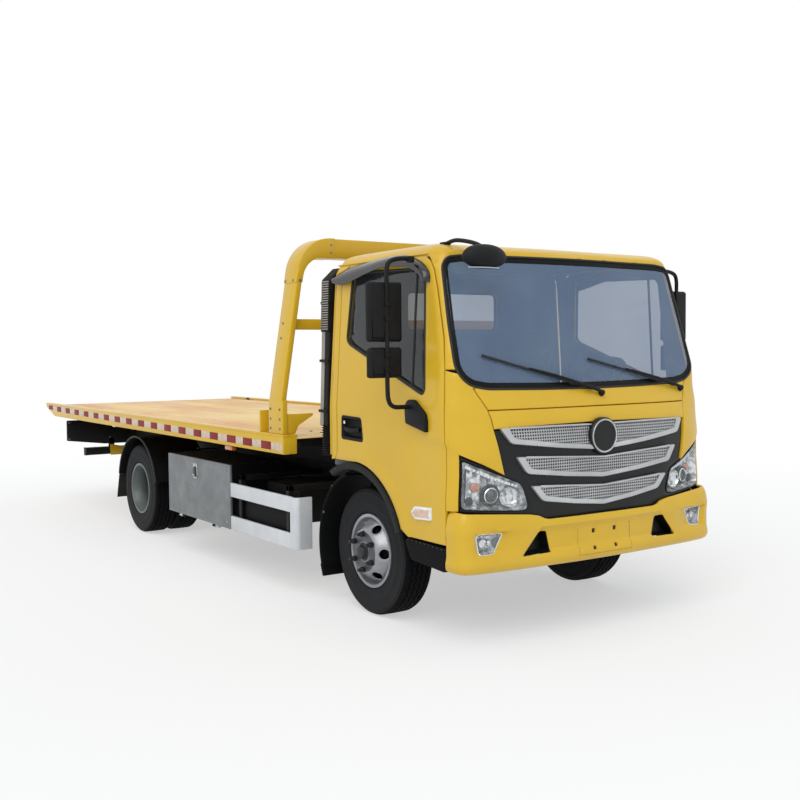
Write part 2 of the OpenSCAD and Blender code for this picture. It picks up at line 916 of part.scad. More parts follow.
// Tilting rails with their pivot pins, members and the long slide barrel.
slide_z = 930;
tilt_y0 = rail_y - 10;
tilt_y1 = rail_y - 80;
tilt_top = 905;
barrel_front = deck_front - 380;
barrel_rear = rear_x - 500;
module tilt_frame() {
    color("#17181a")
        difference() {
            union() {
                both_sides() {
                    box(pivot_x, deck_front - 150, -tilt_y0, -tilt_y1, rail_top + fit, tilt_top);
                    bar_y(pivot_x, pivot_z, 45, -tilt_y0, -tilt_y1);
                    bar_y(pivot_x, pivot_z, pivot_r, -rail_y - 26, -tilt_y1);
                    box(tilt_eye[0] - 70, tilt_eye[0] + 70, -tilt_y1, -tilt_y1 + 10, tilt_eye[1] - 40, tilt_top);
                    box(tilt_eye[0] - 70, tilt_eye[0] + 70, -tilt_y1 + 70, -tilt_y1 + 80, tilt_eye[1] - 40, tilt_top);
                    box(tilt_eye[0] - 70, tilt_eye[0] + 70, -tilt_y1, -tilt_y1 + 80, tilt_top - 12, tilt_top);
                }
                for (x = [deck_front - 250, -1600, -2500, rear_x - 350, rear_x - 1150, pivot_x + 60])
                    box(x - 40, x + 40, -tilt_y1, tilt_y1, rail_top + 10, 870);
                for (x = [-1600, rear_x - 350])
                    box(x - 30, x + 30, -70, 70, 860, slide_z);
                translate([barrel_rear, 0, slide_z])
                    rotate([0, 90, 0])
                        cylinder(r = 55, h = barrel_front - barrel_rear);
            }
            translate([barrel_rear - 1, 0, slide_z])
                rotate([0, 90, 0])
                    cylinder(r = 30 + fit, h = barrel_front - barrel_rear - 40);
        }
}

// Foot pin and rod eye of the tilt cylinders in the side view, and their Y plane.
tilt_foot = [rear_x - 60, 655];
tilt_eye = [rear_x - 690, 840];
tilt_cyl_y = tilt_y1 - 40;

// Barrels of the two tilt cylinders on pins in the frame.
module tilt_barrels() {
    u = unit(tilt_eye - tilt_foot);
    color("#1d1f21")
        both_sides()
            difference() {
                union() {
                    bar_y(tilt_foot[0], tilt_foot[1], 34, -tilt_cyl_y - 24, -tilt_cyl_y + 24);
                    strut(tilt_foot, tilt_foot + u * 530, -tilt_cyl_y, 36);
                    bar_y(tilt_foot[0], tilt_foot[1], 18, -rail_y + rail_t + fit, -tilt_cyl_y + 24);
                }
                strut(tilt_foot + u * 60, tilt_foot + u * 540, -tilt_cyl_y, 20 + fit);
            }
}

// Rods with the eyes under the tilting rails.
module tilt_rods() {
    u = unit(tilt_eye - tilt_foot);
    color("#c9ccce")
        both_sides() {
            strut(tilt_foot + u * 250, tilt_eye, -tilt_cyl_y, 20);
            bar_y(tilt_eye[0], tilt_eye[1], 32, -tilt_cyl_y - 22, -tilt_cyl_y + 22);
        }
}

// Plate of the deck between the rails, behind the gantry.
floor_split = deck_front - 500;
bearer_low = floor_z - 70;
bearer_first = 330;
bearer_count = 10;
bearer_pitch = (deck_length - bearer_first - 470) / (bearer_count - 1);
module deck_floor() {
    color("#e8a21c")
        box(deck_tail, floor_split, -half_deck + deck_rail_w, half_deck - deck_rail_w, floor_z - 8, floor_z);
}

// Plate under the gantry and the winch.
module deck_front_plate() {
    color("#e8a21c")
        box(floor_split, deck_front, -half_deck + deck_rail_w, half_deck - deck_rail_w, floor_z - 8, floor_z);
}

// Side rails with tapered tails, the front header and the corner blocks.
module deck_rails() {
    color("#f2b705")
        both_sides() {
            across(concat([[deck_tail, deck_z], [deck_tail, deck_z - 45]],
                arc([deck_tail + 330, deck_low + 150], 150, 250, 270, 4),
                [[deck_front, deck_low], [deck_front, deck_z]]), -half_deck, -half_deck + deck_rail_w);
            box(deck_front - 330, deck_front, -half_deck + deck_rail_w, -half_deck + 150, floor_z, deck_z);
            box(deck_front - 60, deck_front, -half_deck + deck_rail_w, -half_deck + 150, deck_low, floor_z - 8);
        }
}

// Runners that slide on the tilting rails.
module deck_runners() {
    color("#1b1c1e")
        both_sides()
            box(deck_tail + 320, deck_front - 60, -tilt_y0, -tilt_y1, tilt_top + fit, floor_z - 8);
}

// Bearers from the runners to the rails, with the front beam and the tail bar.
module deck_bearers() {
    color("#1b1c1e") {
        both_sides()
            for (i = [0 : bearer_count - 1])
                translate([deck_tail + bearer_first + i * bearer_pitch, 0, 0])
                    box(0, 60, -half_deck + deck_rail_w, -tilt_y0, bearer_low, floor_z - 8);
        box(deck_front - 60, deck_front - 40, -half_deck + 150, half_deck - 150, bearer_low, floor_z - 8);
        box(deck_tail, deck_tail + 60, -half_deck + deck_rail_w, half_deck - deck_rail_w, deck_z - 45, floor_z - 8);
    }
}

// Spine under the plate with the lug of the long slide rod.
module slide_rod() {
    color("#1b1c1e") {
        box(deck_tail + 320, deck_front - 60, -60, 60, bearer_low, floor_z - 8);
        box(barrel_rear - 90, barrel_rear - 60, -60, 60, slide_z - 40, bearer_low + 1);
        translate([barrel_rear - 80, 0, slide_z])
            rotate([0, 90, 0])
                cylinder(r = 30, h = barrel_front - 75 - (barrel_rear - 80));
    }
}

// Bolted hoop with feet, gussets and a middle bar.
module gantry() {
    foot_x = deck_front - 228;
    foot_y = 1140;
    foot_top = 1325;
    leg_x = foot_x + 12;
    leg_t = 42;
    bar_h = 133;
    bend_r = 260;
    inner_r = 160;
    outer = concat([[foot_y, foot_top]], arc([740, gantry_top - bend_r], bend_r, 9, 90, 8));
    inner = concat([[foot_y - leg_t, foot_top]], arc([804, gantry_top - bar_h - inner_r], inner_r, 9, 90, 6));
    color("#f2b705") {
        along(concat(outer, [for (i = [len(outer) - 1 : -1 : 0]) [-outer[i][0], outer[i][1]]],
            [for (p = inner) [-p[0], p[1]]], [for (i = [len(inner) - 1 : -1 : 0]) inner[i]]), leg_x, leg_x + 180);
        both_sides() {
            box(foot_x, foot_x + 204, -foot_y, -foot_y + leg_t, deck_z, foot_top);
            along([[-foot_y + leg_t - 2, deck_z], [-1035, deck_z], [-1010, 1150], [-896, 1215], [-896, 1230],
                [-foot_y + leg_t - 2, 1230]], foot_x + 180, foot_x + 192);
            box(foot_x - 140, foot_x, -foot_y + leg_t - 15, -foot_y + leg_t, deck_z, 1245);
            box(foot_x - 140, foot_x - 125, -foot_y, -foot_y + leg_t, deck_z, 1245);
        }
        box(leg_x + 55, leg_x + 125, -1020, 1020, 1800, 1872);
    }
}

// Rope winch on the floor between the gantry legs.
module winch() {
    x = deck_front - 230;
    color("#2c2f31") {
        box(x - 150, x + 150, -330, 330, floor_z, floor_z + 16);
        for (y = [-210, 180])
            box(x - 120, x + 120, y, y + 30, floor_z + 10, floor_z + 270);
        bar_y(x, floor_z + 150, 62, -190, 190);
        bar_y(x, floor_z + 150, 88, -150, 150);
        bar_y(x, floor_z + 150, 70, 200, 330);
    }
}

module from_front_axle() {
    translate([front_axle_x, 0, 0])
        children();
}

from_front_axle() frame_rails();
from_front_axle() frame_crossmembers();
from_front_axle() driveline();
from_front_axle() front_axle();
from_front_axle() rear_axle();
from_front_axle() leaf_springs();
from_front_axle() front_bumper();
from_front_axle() chassis_lamps();
from_front_axle() front_steps();
from_front_axle() front_mudguards();
from_front_axle() rear_mudguards();
from_front_axle() toolboxes();
from_front_axle() toolbox_door_right();
from_front_axle() toolbox_door_left();
from_front_axle() side_guards();
from_front_axle() side_tanks();
from_front_axle() exhaust();
from_front_axle() tail_panel();
from_front_axle() cab_floor();
from_front_axle() cab_back_wall();
from_front_axle() cab_roof();
from_front_axle() cab_front();
from_front_axle() cab_glass();
from_front_axle() grille();
from_front_axle() headlamps();
from_front_axle() cab_interior();
from_front_axle() steering_wheel();
from_front_axle() arch_trims();
from_front_axle() kerb_mirror();
from_front_axle() air_intake();
from_front_axle() door_right();
from_front_axle() door_left();
from_front_axle() door_glass_right();
from_front_axle() door_glass_left();
from_front_axle() mirror_right();
from_front_axle() mirror_left();
from_front_axle() knuckle_right();
from_front_axle() knuckle_left();
from_front_axle() tyre_front_right();
from_front_axle() tyre_front_left();
from_front_axle() rim_front_right();
from_front_axle() rim_front_left();
from_front_axle() tyre_rear_right();
from_front_axle() tyre_rear_left();
from_front_axle() rim_rear_right();
from_front_axle() rim_rear_left();
from_front_axle() tilt_frame();
from_front_axle() tilt_barrels();
from_front_axle() tilt_rods();
from_front_axle() deck_floor();
from_front_axle() deck_front_plate();
from_front_axle() deck_rails();
from_front_axle() deck_runners();
from_front_axle() deck_bearers();
from_front_axle() slide_rod();
from_front_axle() gantry();
from_front_axle() winch();
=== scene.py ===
import math

import bmesh
import bpy
import numpy as np
from mathutils import Matrix, Vector
from mathutils.geometry import delaunay_2d_cdt


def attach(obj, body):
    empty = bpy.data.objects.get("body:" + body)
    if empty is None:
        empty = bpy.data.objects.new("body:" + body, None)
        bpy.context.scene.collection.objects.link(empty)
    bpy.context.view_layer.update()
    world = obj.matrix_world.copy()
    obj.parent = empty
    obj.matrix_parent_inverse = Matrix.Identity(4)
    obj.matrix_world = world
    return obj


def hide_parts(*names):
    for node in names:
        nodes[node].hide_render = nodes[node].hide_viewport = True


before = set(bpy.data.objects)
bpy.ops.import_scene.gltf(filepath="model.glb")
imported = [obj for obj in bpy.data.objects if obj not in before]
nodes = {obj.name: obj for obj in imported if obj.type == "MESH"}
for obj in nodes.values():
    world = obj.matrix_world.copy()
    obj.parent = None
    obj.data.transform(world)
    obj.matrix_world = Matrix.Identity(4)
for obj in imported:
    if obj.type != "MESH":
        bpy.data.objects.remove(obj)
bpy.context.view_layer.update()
scene = bpy.context.scene


# The studio: a pale floor under a white surround with one broad soft lamp, seen from ahead
# of the truck's right front corner at head height through a slightly long lens.
class Field:
    """A socket of a node tree that takes part in Python sums."""

    def __init__(self, tree, socket=None):
        self.tree = tree
        self.socket = socket

    def node(self, kind, settings=None, give=0, **into):
        made = self.tree.nodes.new("ShaderNode" + kind)
        for key, value in (settings or {}).items():
            if key == "stops":
                ramp = made.color_ramp.elements
                while len(ramp) < len(value):
                    ramp.new(0.5)
                for stop, (place, tone) in zip(ramp, value):
                    stop.position = place
                    stop.color = (tone, tone, tone, 1)
            else:
                setattr(made, key, value)
        for key, value in into.items():
            port = made.inputs[int(key[1:]) if key[1:].isdigit() else key]
            if isinstance(value, Field):
                self.tree.links.new(value.socket, port)
            else:
                port.default_value = value
        return Field(self.tree, made.outputs[give])

    def sum(self, operation, a, b=0.0):
        return self.node("Math", {"operation": operation}, _0=a, _1=b)

    def __add__(self, other):
        return self.sum("ADD", self, other)

    def __sub__(self, other):
        return self.sum("SUBTRACT", self, other)

    def __mul__(self, other):
        return self.sum("MULTIPLY", self, other)

    def __radd__(self, other):
        return self.sum("ADD", other, self)

    def __rsub__(self, other):
        return self.sum("SUBTRACT", other, self)

    def __rmul__(self, other):
        return self.sum("MULTIPLY", other, self)


LENS, SENSOR = 47.37, 36
EYE = (8.1617, -4.4104, 1.6651)
TURN, DIP, ROLL = (math.radians(a) for a in (56.1, 2.8, -0.5))
SUN_FROM, SUN_SPREAD, SUN_POWER = Vector((0.5, -0.55, 0.8)), math.radians(50), 1.35
FILL_LIGHT = 0.66
FLOOR_REACH = 60
FADE_NEAR, FADE_FAR = 3.6, 9.0
WHITE = (1, 1, 1, 1)
scene.view_settings.view_transform = "Standard"
camera = bpy.data.cameras.new("camera")
camera.sensor_width = SENSOR
camera.lens = LENS
camera.clip_end = 400
eye = bpy.data.objects.new("camera", camera)
scene.collection.objects.link(eye)
scene.camera = eye
ahead = Vector((-math.sin(TURN) * math.cos(DIP), math.cos(TURN) * math.cos(DIP), -math.sin(DIP)))
across = Vector((math.cos(TURN), math.sin(TURN), 0))
over = across.cross(ahead)
right = across * math.cos(ROLL) + over * math.sin(ROLL)
up = over * math.cos(ROLL) - across * math.sin(ROLL)
eye.matrix_world = Matrix.Translation(EYE) @ Matrix((right, up, -ahead)).transposed().to_4x4()


def looked_at(f):
    """1 where the eye, a gloss or a pane of glass meets the surround, 0 where it only gives light."""
    path = f.tree.nodes.new("ShaderNodeLightPath")
    rays = ("Is Camera Ray", "Is Glossy Ray", "Is Transmission Ray")
    rays = [Field(f.tree, path.outputs[ray]) for ray in rays]
    return f.sum("MINIMUM", rays[0] + rays[1] + rays[2], 1.0)


sky = bpy.data.worlds.new("sky")
scene.world = sky
sky.use_nodes = True
air = Field(sky.node_tree)
white = air.node("Background", Color=WHITE, Strength=1.0)
soft = air.node("Background", Color=(0.93, 0.965, 1, 1), Strength=FILL_LIGHT)
air.tree.links.new(air.node("MixShader", _0=looked_at(air), _1=soft, _2=white).socket,
                   sky.node_tree.nodes["World Output"].inputs["Surface"])

lamp = bpy.data.lights.new("daylight", "SUN")
lamp.energy = SUN_POWER
lamp.angle = SUN_SPREAD
lamp.color = (1, 0.985, 0.95)
sun = bpy.data.objects.new("daylight", lamp)
sun.rotation_euler = SUN_FROM.to_track_quat("Z", "Y").to_euler()
scene.collection.objects.link(sun)

slab_mesh = bpy.data.meshes.new("floor")
corners = [(x * FLOOR_REACH, y * FLOOR_REACH, 0) for x, y in ((-1, -1), (1, -1), (1, 1), (-1, 1))]
slab_mesh.from_pydata(corners, [], [(0, 1, 2, 3)])
floor = bpy.data.objects.new("floor", slab_mesh)
scene.collection.objects.link(floor)
concrete = bpy.data.materials.new("pale_floor")
concrete.use_nodes = True
ground = Field(concrete.node_tree)
spot = ground.node("TexCoord", give=3)
dust = ground.node("TexNoise", Vector=spot, Scale=3.0, Detail=6.0)
coat = concrete.node_tree.nodes["Principled BSDF"]
coat.inputs["Base Color"].default_value = (0.95, 0.95, 0.95, 1)
coat.inputs["Specular IOR Level"].default_value = 0
ground.tree.links.new((0.9 + dust * 0.08).socket, coat.inputs["Roughness"])
away = ground.node("VectorMath", {"operation": "LENGTH"}, give=1, _0=spot)
fade = ground.node("MapRange", {"interpolation_type": "SMOOTHSTEP"}, Value=away,
                   _1=FADE_NEAR, _2=FADE_FAR, _3=0.5, _4=1.0)
lit = ground.node("MixShader", _0=looked_at(ground) * fade, _1=Field(ground.tree, coat.outputs[0]),
                  _2=ground.node("Emission", Color=WHITE, Strength=1.0))
ground.tree.links.new(lit.socket, ground.tree.nodes["Material Output"].inputs["Surface"])
slab_mesh.materials.append(concrete)


# The chassis: two pressed steel C rails with riveted cross members, painted semi gloss black
# and dusty near the road; engine, axles and leaf springs are castings and forgings bolted below.
ROAD_DUST, DUST_LOW, DUST_HIGH = "8d8371", 0.15, 1.25
WELD_GAP, SOFT_EDGE = 0.00005, 0.003


def rgb(code):
    tones = [int(code[i:i + 2], 16) / 255 for i in (0, 2, 4)]
    return tuple(t / 12.92 if t <= 0.04045 else ((t + 0.055) / 1.055) ** 2.4 for t in tones) + (1,)


def blend(f, mask, under, on_top):
    return f.node("Mix", {"data_type": "RGBA"}, give=2, _0=mask, _6=under, _7=on_top)


def ramp(f, value, low, high):
    """0 below low and 1 above high."""
    return f.node("ValToRGB", {"stops": ((low, 0.0), (high, 1.0))}, Fac=value)


def finish(name, colour, shade, rough, drift=0.12, metal=0.0, patch=3.0, grain=420.0, bump=0.0002,
           coat=0.0, dirt=0.0, edges=(0.35, 0.65), alpha=1.0, shine=0.5, work=None):
    """A coated surface: a colour clouded with its shade, fine grain, road dirt and marks of its own."""
    made = bpy.data.materials.new(name)
    made.use_nodes = True
    shader = made.node_tree.nodes["Principled BSDF"]
    f = Field(made.node_tree)
    where = f.node("TexCoord", give=3)
    cloud = f.node("TexNoise", Vector=where, Scale=patch, Detail=6.0, Roughness=0.62)
    tone = blend(f, ramp(f, cloud, *edges), rgb(colour), rgb(shade))
    dull = rough + (cloud - 0.5) * drift
    height = f.node("TexNoise", Vector=where, Scale=grain, Detail=3.0)
    if dirt:
        low = f.node("MapRange", Value=f.node("SeparateXYZ", give=2, Vector=where),
                     _1=DUST_LOW, _2=DUST_HIGH, _3=1.0, _4=0.0)
        film = f.node("TexNoise", Vector=where, Scale=7.0, Detail=8.0, Roughness=0.7)
        film = f.node("Math", {"operation": "MULTIPLY", "use_clamp": True}, _0=low * dirt,
                      _1=film * 2.2 - 0.35)
        tone = blend(f, film, tone, rgb(ROAD_DUST))
        dull = dull + film * 0.25
    if work:
        tone, dull, height = work(f, where, tone, dull, height)
    normal = f.node("Bump", Height=height, Strength=1.0, Distance=bump)
    for port, value in (("Base Color", tone), ("Roughness", dull), ("Normal", normal)):
        f.tree.links.new(value.socket, shader.inputs[port])
    for port, value in (("Metallic", metal), ("Coat Weight", coat), ("Coat Roughness", 0.06),
                        ("Specular IOR Level", shine), ("Alpha", alpha)):
        shader.inputs[port].default_value = value
    return made


def dress(names, material, soften=0.0):
    """Gives solids of the part a finish, and breaks their edges by a small round."""
    for n in names:
        nodes[n].data.materials.clear()
        nodes[n].data.materials.append(material)
        if soften:
            weld_points = nodes[n].modifiers.new("weld", "WELD")
            weld_points.merge_threshold = WELD_GAP
            edge = nodes[n].modifiers.new("edge", "BEVEL")
            edge.width = soften
            edge.segments = 2
            edge.limit_method = "ANGLE"
            edge.angle_limit = math.radians(40)


chassis_black = finish("chassis_black", "0b0c0e", "131416", 0.5, patch=2.0, bump=0.00015, dirt=0.04,
                       shine=0.16)
forged = finish("forged_steel", "111214", "1a1918", 0.62, patch=9, grain=160, bump=0.0006, dirt=0.06,
                shine=0.2)
muffler = finish("heat_stained_steel", "5d5955", "3d3029", 0.42, metal=0.85, patch=5, dirt=0.08)
hard_chrome = finish("hard_chrome", "d9dcde", "b4b9bd", 0.12, metal=1.0, grain=900, bump=0.00002)
dress(["frame_rails", "frame_crossmembers", "tilt_frame", "deck_runners", "deck_bearers", "side_tanks"],
      chassis_black, SOFT_EDGE)
dress(["tilt_barrels", "slide_rod"], chassis_black)
dress(["driveline", "front_axle", "rear_axle", "leaf_springs", "knuckle_right", "knuckle_left"], forged)
dress(["exhaust"], muffler)
dress(["tilt_rods"], hard_chrome)


# Road wheels: dark rubber tyres with five ribbed tread rows and moulded side rings, seated on
# pressed steel rims in silver paint, with six hand holes and six nuts on studs around the hub.
# Places are millimetres ahead of the front axle, to the left of the middle and above the floor.
AXLE = 2627.5
WHEELBASE, FRONT_HALF, REAR_HALF, TWIN_HALF = 3800, 825, 802.5, 122.5
TYRE_R, BEAD, SHOULDER, TYRE_TURNS = 402, 215, 76, 276
PITCHES, GROOVES, GROOVE_HALF, GROOVE_DEEP = 46, (-54, -18, 18, 54), 4.5, 9.0
SLIT_SHARE, SLIT_FROM, SLIT_DEEP = 0.2, 62, 6.0
WHEEL_HOLES, HOLE_TURN, DISC_TURNS, DISC_ROWS, DISC_THICK, ROLLED_IN = 6, math.radians(29), 144, 44, 7.0, 5.0
NUTS, NUT_CIRCLE = 6, 222
SIDES = (("right", -1), ("left", 1))


def piece(name, body, parts, replaces=(), crease=35):
    """One mesh of the truck from its parts and their finishes, riding on a body of the model."""
    verts, faces, marks, used = [], [], [], []
    for (points, polys), material in parts:
        if material not in used:
            used.append(material)
        base = len(verts)
        verts.extend(np.asarray(points, float).tolist())
        faces.extend([[int(i) + base for i in poly] for poly in polys])
        marks.extend([used.index(material)] * len(polys))
    mesh = bpy.data.meshes.new(name)
    mesh.from_pydata(((np.array(verts) + (AXLE, 0, 0)) / 1000).tolist(), [], faces)
    mesh.polygons.foreach_set("material_index", marks)
    b = bmesh.new()
    b.from_mesh(mesh)
    bmesh.ops.recalc_face_normals(b, faces=b.faces)
    b.to_mesh(mesh)
    b.free()
    mesh.polygons.foreach_set("use_smooth", [True] * len(mesh.polygons))
    mesh.set_sharp_from_angle(angle=math.radians(crease))
    for material in used:
        mesh.materials.append(material)
    made = bpy.data.objects.new(name, mesh)
    scene.collection.objects.link(made)
    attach(made, body)
    if replaces:
        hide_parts(*replaces)
    return made


def merge(*parts):
    points, polys = [], []
    for p, f in parts:
        base = len(points)
        points.extend(np.asarray(p, float).tolist())
        polys.extend([[int(i) + base for i in poly] for poly in f])
    return points, polys


def spin(profile, middle, out, steps=96, closed=True, height=None):
    """Points (radius, outward) turned about an axis along Y; out is -1 on the right side."""
    profile = np.array(profile, float)
    count = len(profile)
    angles = np.arange(steps) * 2 * math.pi / steps
    r = np.repeat(profile[None, :, 0], steps, 0)
    if height is not None:
        r = r + height(angles[:, None], profile[None, :, 0], profile[None, :, 1])
    points = np.stack([middle[0] + r * np.sin(angles)[:, None],
                       middle[1] + out * np.repeat(profile[None, :, 1], steps, 0),
                       middle[2] + r * np.cos(angles)[:, None]], -1).reshape(-1, 3)
    polys = []
    for i in range(steps):
        this, after = i * count, ((i + 1) % steps) * count
        for j in range(count if closed else count - 1):
            k = (j + 1) % count
            polys.append([this + j, this + k, after + k, after + j])
    return points, polys


def tread(angle, radius, across_tread):
    """Depth cut into the tyre: four zigzag grooves between ribs and short cuts on the shoulders."""
    zigzag = 5 * np.abs(((angle * PITCHES / (2 * math.pi)) % 1) * 4 - 2) - 5
    cut = np.zeros(np.broadcast(angle, across_tread).shape)
    face = radius > TYRE_R - 4
    for g in GROOVES:
        cut = np.where(face & (np.abs(across_tread + zigzag - g) < GROOVE_HALF), GROOVE_DEEP, cut)
    slit = ((angle * PITCHES / math.pi) % 1) < SLIT_SHARE
    return -np.where(face & slit & (np.abs(across_tread) > SLIT_FROM), SLIT_DEEP, cut)


def barrel(w):
    """The rolled rim about a place along the axle, from lip to lip and back along its inside."""
    return [(BEAD + rise, w + across) for rise, across in (
        (-12, -99), (16, -100), (17, -92), (10, -87), (0, -84), (-6, -60), (-22, -30), (-22, 20), (-6, 60),
        (0, 84), (10, 87), (17, 92), (16, 100), (-3, 99), (-12, 70), (-30, 24), (-30, -34), (-12, -70))]


def disc(profile, middle, out, hole_r, oval, first=0.0):
    """A pressed disc turned from its outer line, with oval hand holes left open and rolled in."""
    line = np.array(profile, float)
    reach = np.concatenate([[0], np.cumsum(np.hypot(*np.diff(line, axis=0).T))])
    rows = np.linspace(0, reach[-1], DISC_ROWS)
    rows = np.stack([np.interp(rows, reach, line[:, k]) for k in (0, 1)], -1)
    points, polys = spin(rows, middle, out, DISC_TURNS, closed=False)
    rel = np.asarray(points) - middle
    radius = np.hypot(rel[:, 0], rel[:, 2])
    turn_at = np.arctan2(rel[:, 0], rel[:, 2])
    pitch = 2 * math.pi / WHEEL_HOLES
    off = ((turn_at - first) * WHEEL_HOLES / (2 * math.pi) + 0.5) % 1 - 0.5
    away = np.hypot(off * pitch * hole_r / oval[0], (radius - hole_r) / oval[1])
    gone = [p for p in polys if away[p].min() <= 0.97]
    polys = [p for p in polys if away[p].min() > 0.97]
    pull = np.zeros(len(rel), bool)
    pull[list({k for p in gone for k in p} & {k for p in polys for k in p})] = True
    scale = np.where(pull, 1 / np.maximum(away, 1e-6), 1)
    new_r = hole_r + (radius - hole_r) * scale
    new_turn = turn_at + (off * scale - off) * 2 * math.pi / WHEEL_HOLES
    front = np.stack([new_r * np.sin(new_turn), rel[:, 1] - out * np.where(pull, ROLLED_IN, 0),
                      new_r * np.cos(new_turn)], -1) + middle
    back = front - np.array((0, out * DISC_THICK, 0))
    return merge((front, polys), (back, [p[::-1] for p in polys]))


def nuts(middle, out, w, stud, first=0.0):
    """Wheel nuts on their studs around the hub, at w along the axle."""
    head = [(0, 30), (14, 30), (18, 26), (18, 2), (23, 0), (23, -6), (0, -6)]
    thread = [(0, stud), (9, stud), (11, stud - 3), (11, 28), (0, 28)]
    made = []
    for k in range(NUTS):
        a = first + (k + 0.5) * 2 * math.pi / NUTS
        at = (middle[0] + NUT_CIRCLE / 2 * math.sin(a), middle[1] + out * w,
              middle[2] + NUT_CIRCLE / 2 * math.cos(a))
        made += [spin(head, at, out, 6, False), spin(thread, at, out, 12, False)]
    return merge(*made)


def blacken(tyre, middle):
    """Gives the faces of the tread a darker black: painted shade on the tread."""
    tyre.data.materials.append(shade_darkened_black)
    for face in tyre.data.polygons:
        x, _, z = face.center * 1000
        if math.hypot(x - AXLE - middle[0], z - middle[2]) > TYRE_R - 14:
            face.material_index = 1


rubber = finish("tyre_rubber", "17191d", "1e2024", 0.76, patch=6, grain=900, bump=0.00015, dirt=0.03,
                edges=(0.4, 0.75), shine=0.2)
# A darker black than the tyre rubber: painted shade on the tread faces and on the front drum behind the disc.
shade_darkened_black = finish("shade_darkened_black", "08090b", "0d0e10", 0.8, patch=6, grain=900, bump=0.00015, shine=0.12)
wheel_silver = finish("wheel_silver", "a3a5aa", "7f8187", 0.34, metal=0.55, patch=4, grain=600,
                      bump=0.00006, dirt=0.03)
barrel_grey = finish("barrel_grey", "6f7876", "5a6260", 0.45, metal=0.3, patch=5, grain=600, bump=0.0001)
flange_grey = finish("flange_grey", "63656a", "46484c", 0.42, metal=0.4, patch=9, grain=700, bump=0.0001)
hub_dark = finish("hub_dark", "212226", "2d2e32", 0.45, metal=0.4, patch=14, dirt=0.02)
nut_steel = finish("nut_steel", "8d8f91", "6a6865", 0.36, metal=0.9, patch=40, dirt=0.04)
side_wall = [(BEAD + rise, w) for rise, w in (
    (1, 82), (19, 83), (24, 98), (33, 103), (37, 106), (44, 104.5), (60, 106.2), (86, 107.5), (90, 109),
    (96, 109), (100, 107.2), (130, 106), (147, 104.5), (151, 106), (155, 105.5), (158, 102.6),
    (172, 98), (180, 90),
    (186, SHOULDER))]
crown_line = [(TYRE_R - 0.4 - (w / SHOULDER) ** 2 * 1.6, w)
              for w in np.linspace(SHOULDER - 4, 4 - SHOULDER, 49)]
carcass = side_wall + crown_line + [(r, -w) for r, w in reversed(side_wall)]
front_dish = [(56, 149), (62, 148), (124, 147), (138, 142), (150, 131), (163, 116), (178, 97), (190, 80),
              (204, 62)]
front_flange = [(58, 148), (122, 148.2), (129, 145), (129, 140)]
front_drum = [(58, 92), (128, 90), (140, 80), (152, 60), (203, 34)]
front_cap = [(0, 180), (27, 180), (37, 176), (41, 168), (43, 156), (56, 152), (58, 148), (58, 30)]
rear_dish = [(74, 18), (150, 16), (162, 26), (176, 44), (192, 60), (204, 66)]
rear_cap = [(0, 134), (38, 134), (50, 128), (54, 116), (76, 110), (82, 100), (84, 18), (92, 16)]
for side_name, out in SIDES:
    at = (0, out * FRONT_HALF, TYRE_R)
    wheel = "wheel_front_" + side_name
    tyre = [(spin(carcass, at, out, TYRE_TURNS, height=tread), rubber)]
    blacken(piece("front_tyre_" + side_name, wheel, tyre, ["tyre_front_" + side_name]), at)
    rim = [(spin(barrel(0), at, out), wheel_silver),
           (disc(front_dish, at, out, 165, (31, 22), HOLE_TURN), wheel_silver),
           (spin(front_flange, at, out, 72, False), flange_grey),
           # The drum takes the darkest black: its own dark metal with painted shade seen through the hand
           # holes.
           (spin(front_drum, at, out, 72, False), shade_darkened_black),
           (spin(front_cap, at, out, 48, False), hub_dark), (nuts(at, out, 146, 50, HOLE_TURN), hub_dark)]
    piece("front_rim_" + side_name, wheel, rim, ["rim_front_" + side_name])
    at = (-WHEELBASE, out * REAR_HALF, TYRE_R)
    wheel = "wheel_rear_" + side_name
    pair = [(spin(carcass, (at[0], at[1] + out * w, at[2]), out, TYRE_TURNS, height=tread), rubber)
            for w in (-TWIN_HALF, TWIN_HALF)]
    blacken(piece("rear_tyres_" + side_name, wheel, pair, ["tyre_rear_" + side_name]), at)
    rim = [(spin(barrel(-TWIN_HALF), at, out), barrel_grey), (spin(barrel(TWIN_HALF), at, out), barrel_grey)]
    rim += [(disc([(r, face * w) for r, w in rear_dish], at, out, 173, (28, 19)), barrel_grey)
            for face in (1, -1)]
    rim += [(spin(rear_cap, at, out, 48, False), hub_dark), (nuts(at, out, 16, 36), nut_steel)]
    piece("rear_rim_" + side_name, wheel, rim, ["rim_rear_" + side_name])


# Wheel shells: moulded black plastic arches with a rolled rim, bolted to the rails by flat stays,
# and limp rubber flaps that hang behind the twin wheels.
SHELL_WALL, RAIL_SIDE = 14, -400
FRONT_SHELL_R, FRONT_SHELL_OUT, FRONT_SHELL_IN = 500, -1003, -712
REAR_SHELL_R, REAR_SHELL_OUT, REAR_SHELL_IN = 480, -1058, -562
FLAP_TOP, FLAP_FOOT = 512, 262


def fillet(outline, r, n=5):
    """A closed outline with every corner rounded by about r."""
    pts = np.array(outline, float)
    made = []
    for a, b, c in zip(np.roll(pts, 1, 0), pts, np.roll(pts, -1, 0)):
        la, lc = np.linalg.norm(a - b), np.linalg.norm(c - b)
        d = min(r, la * 0.45, lc * 0.45)
        p, q = b + (a - b) / la * d, b + (c - b) / lc * d
        made.extend([(1 - t) ** 2 * p + 2 * t * (1 - t) * b + t * t * q for t in np.linspace(0, 1, n)])
    return np.array(made)


def oblong(x0, x1, y0, y1):
    return [(x0, y0), (x1, y0), (x1, y1), (x0, y1)]


def area(pts):
    x, y = pts[:, 0], pts[:, 1]
    return 0.5 * np.sum(x * np.roll(y, -1) - y * np.roll(x, -1))


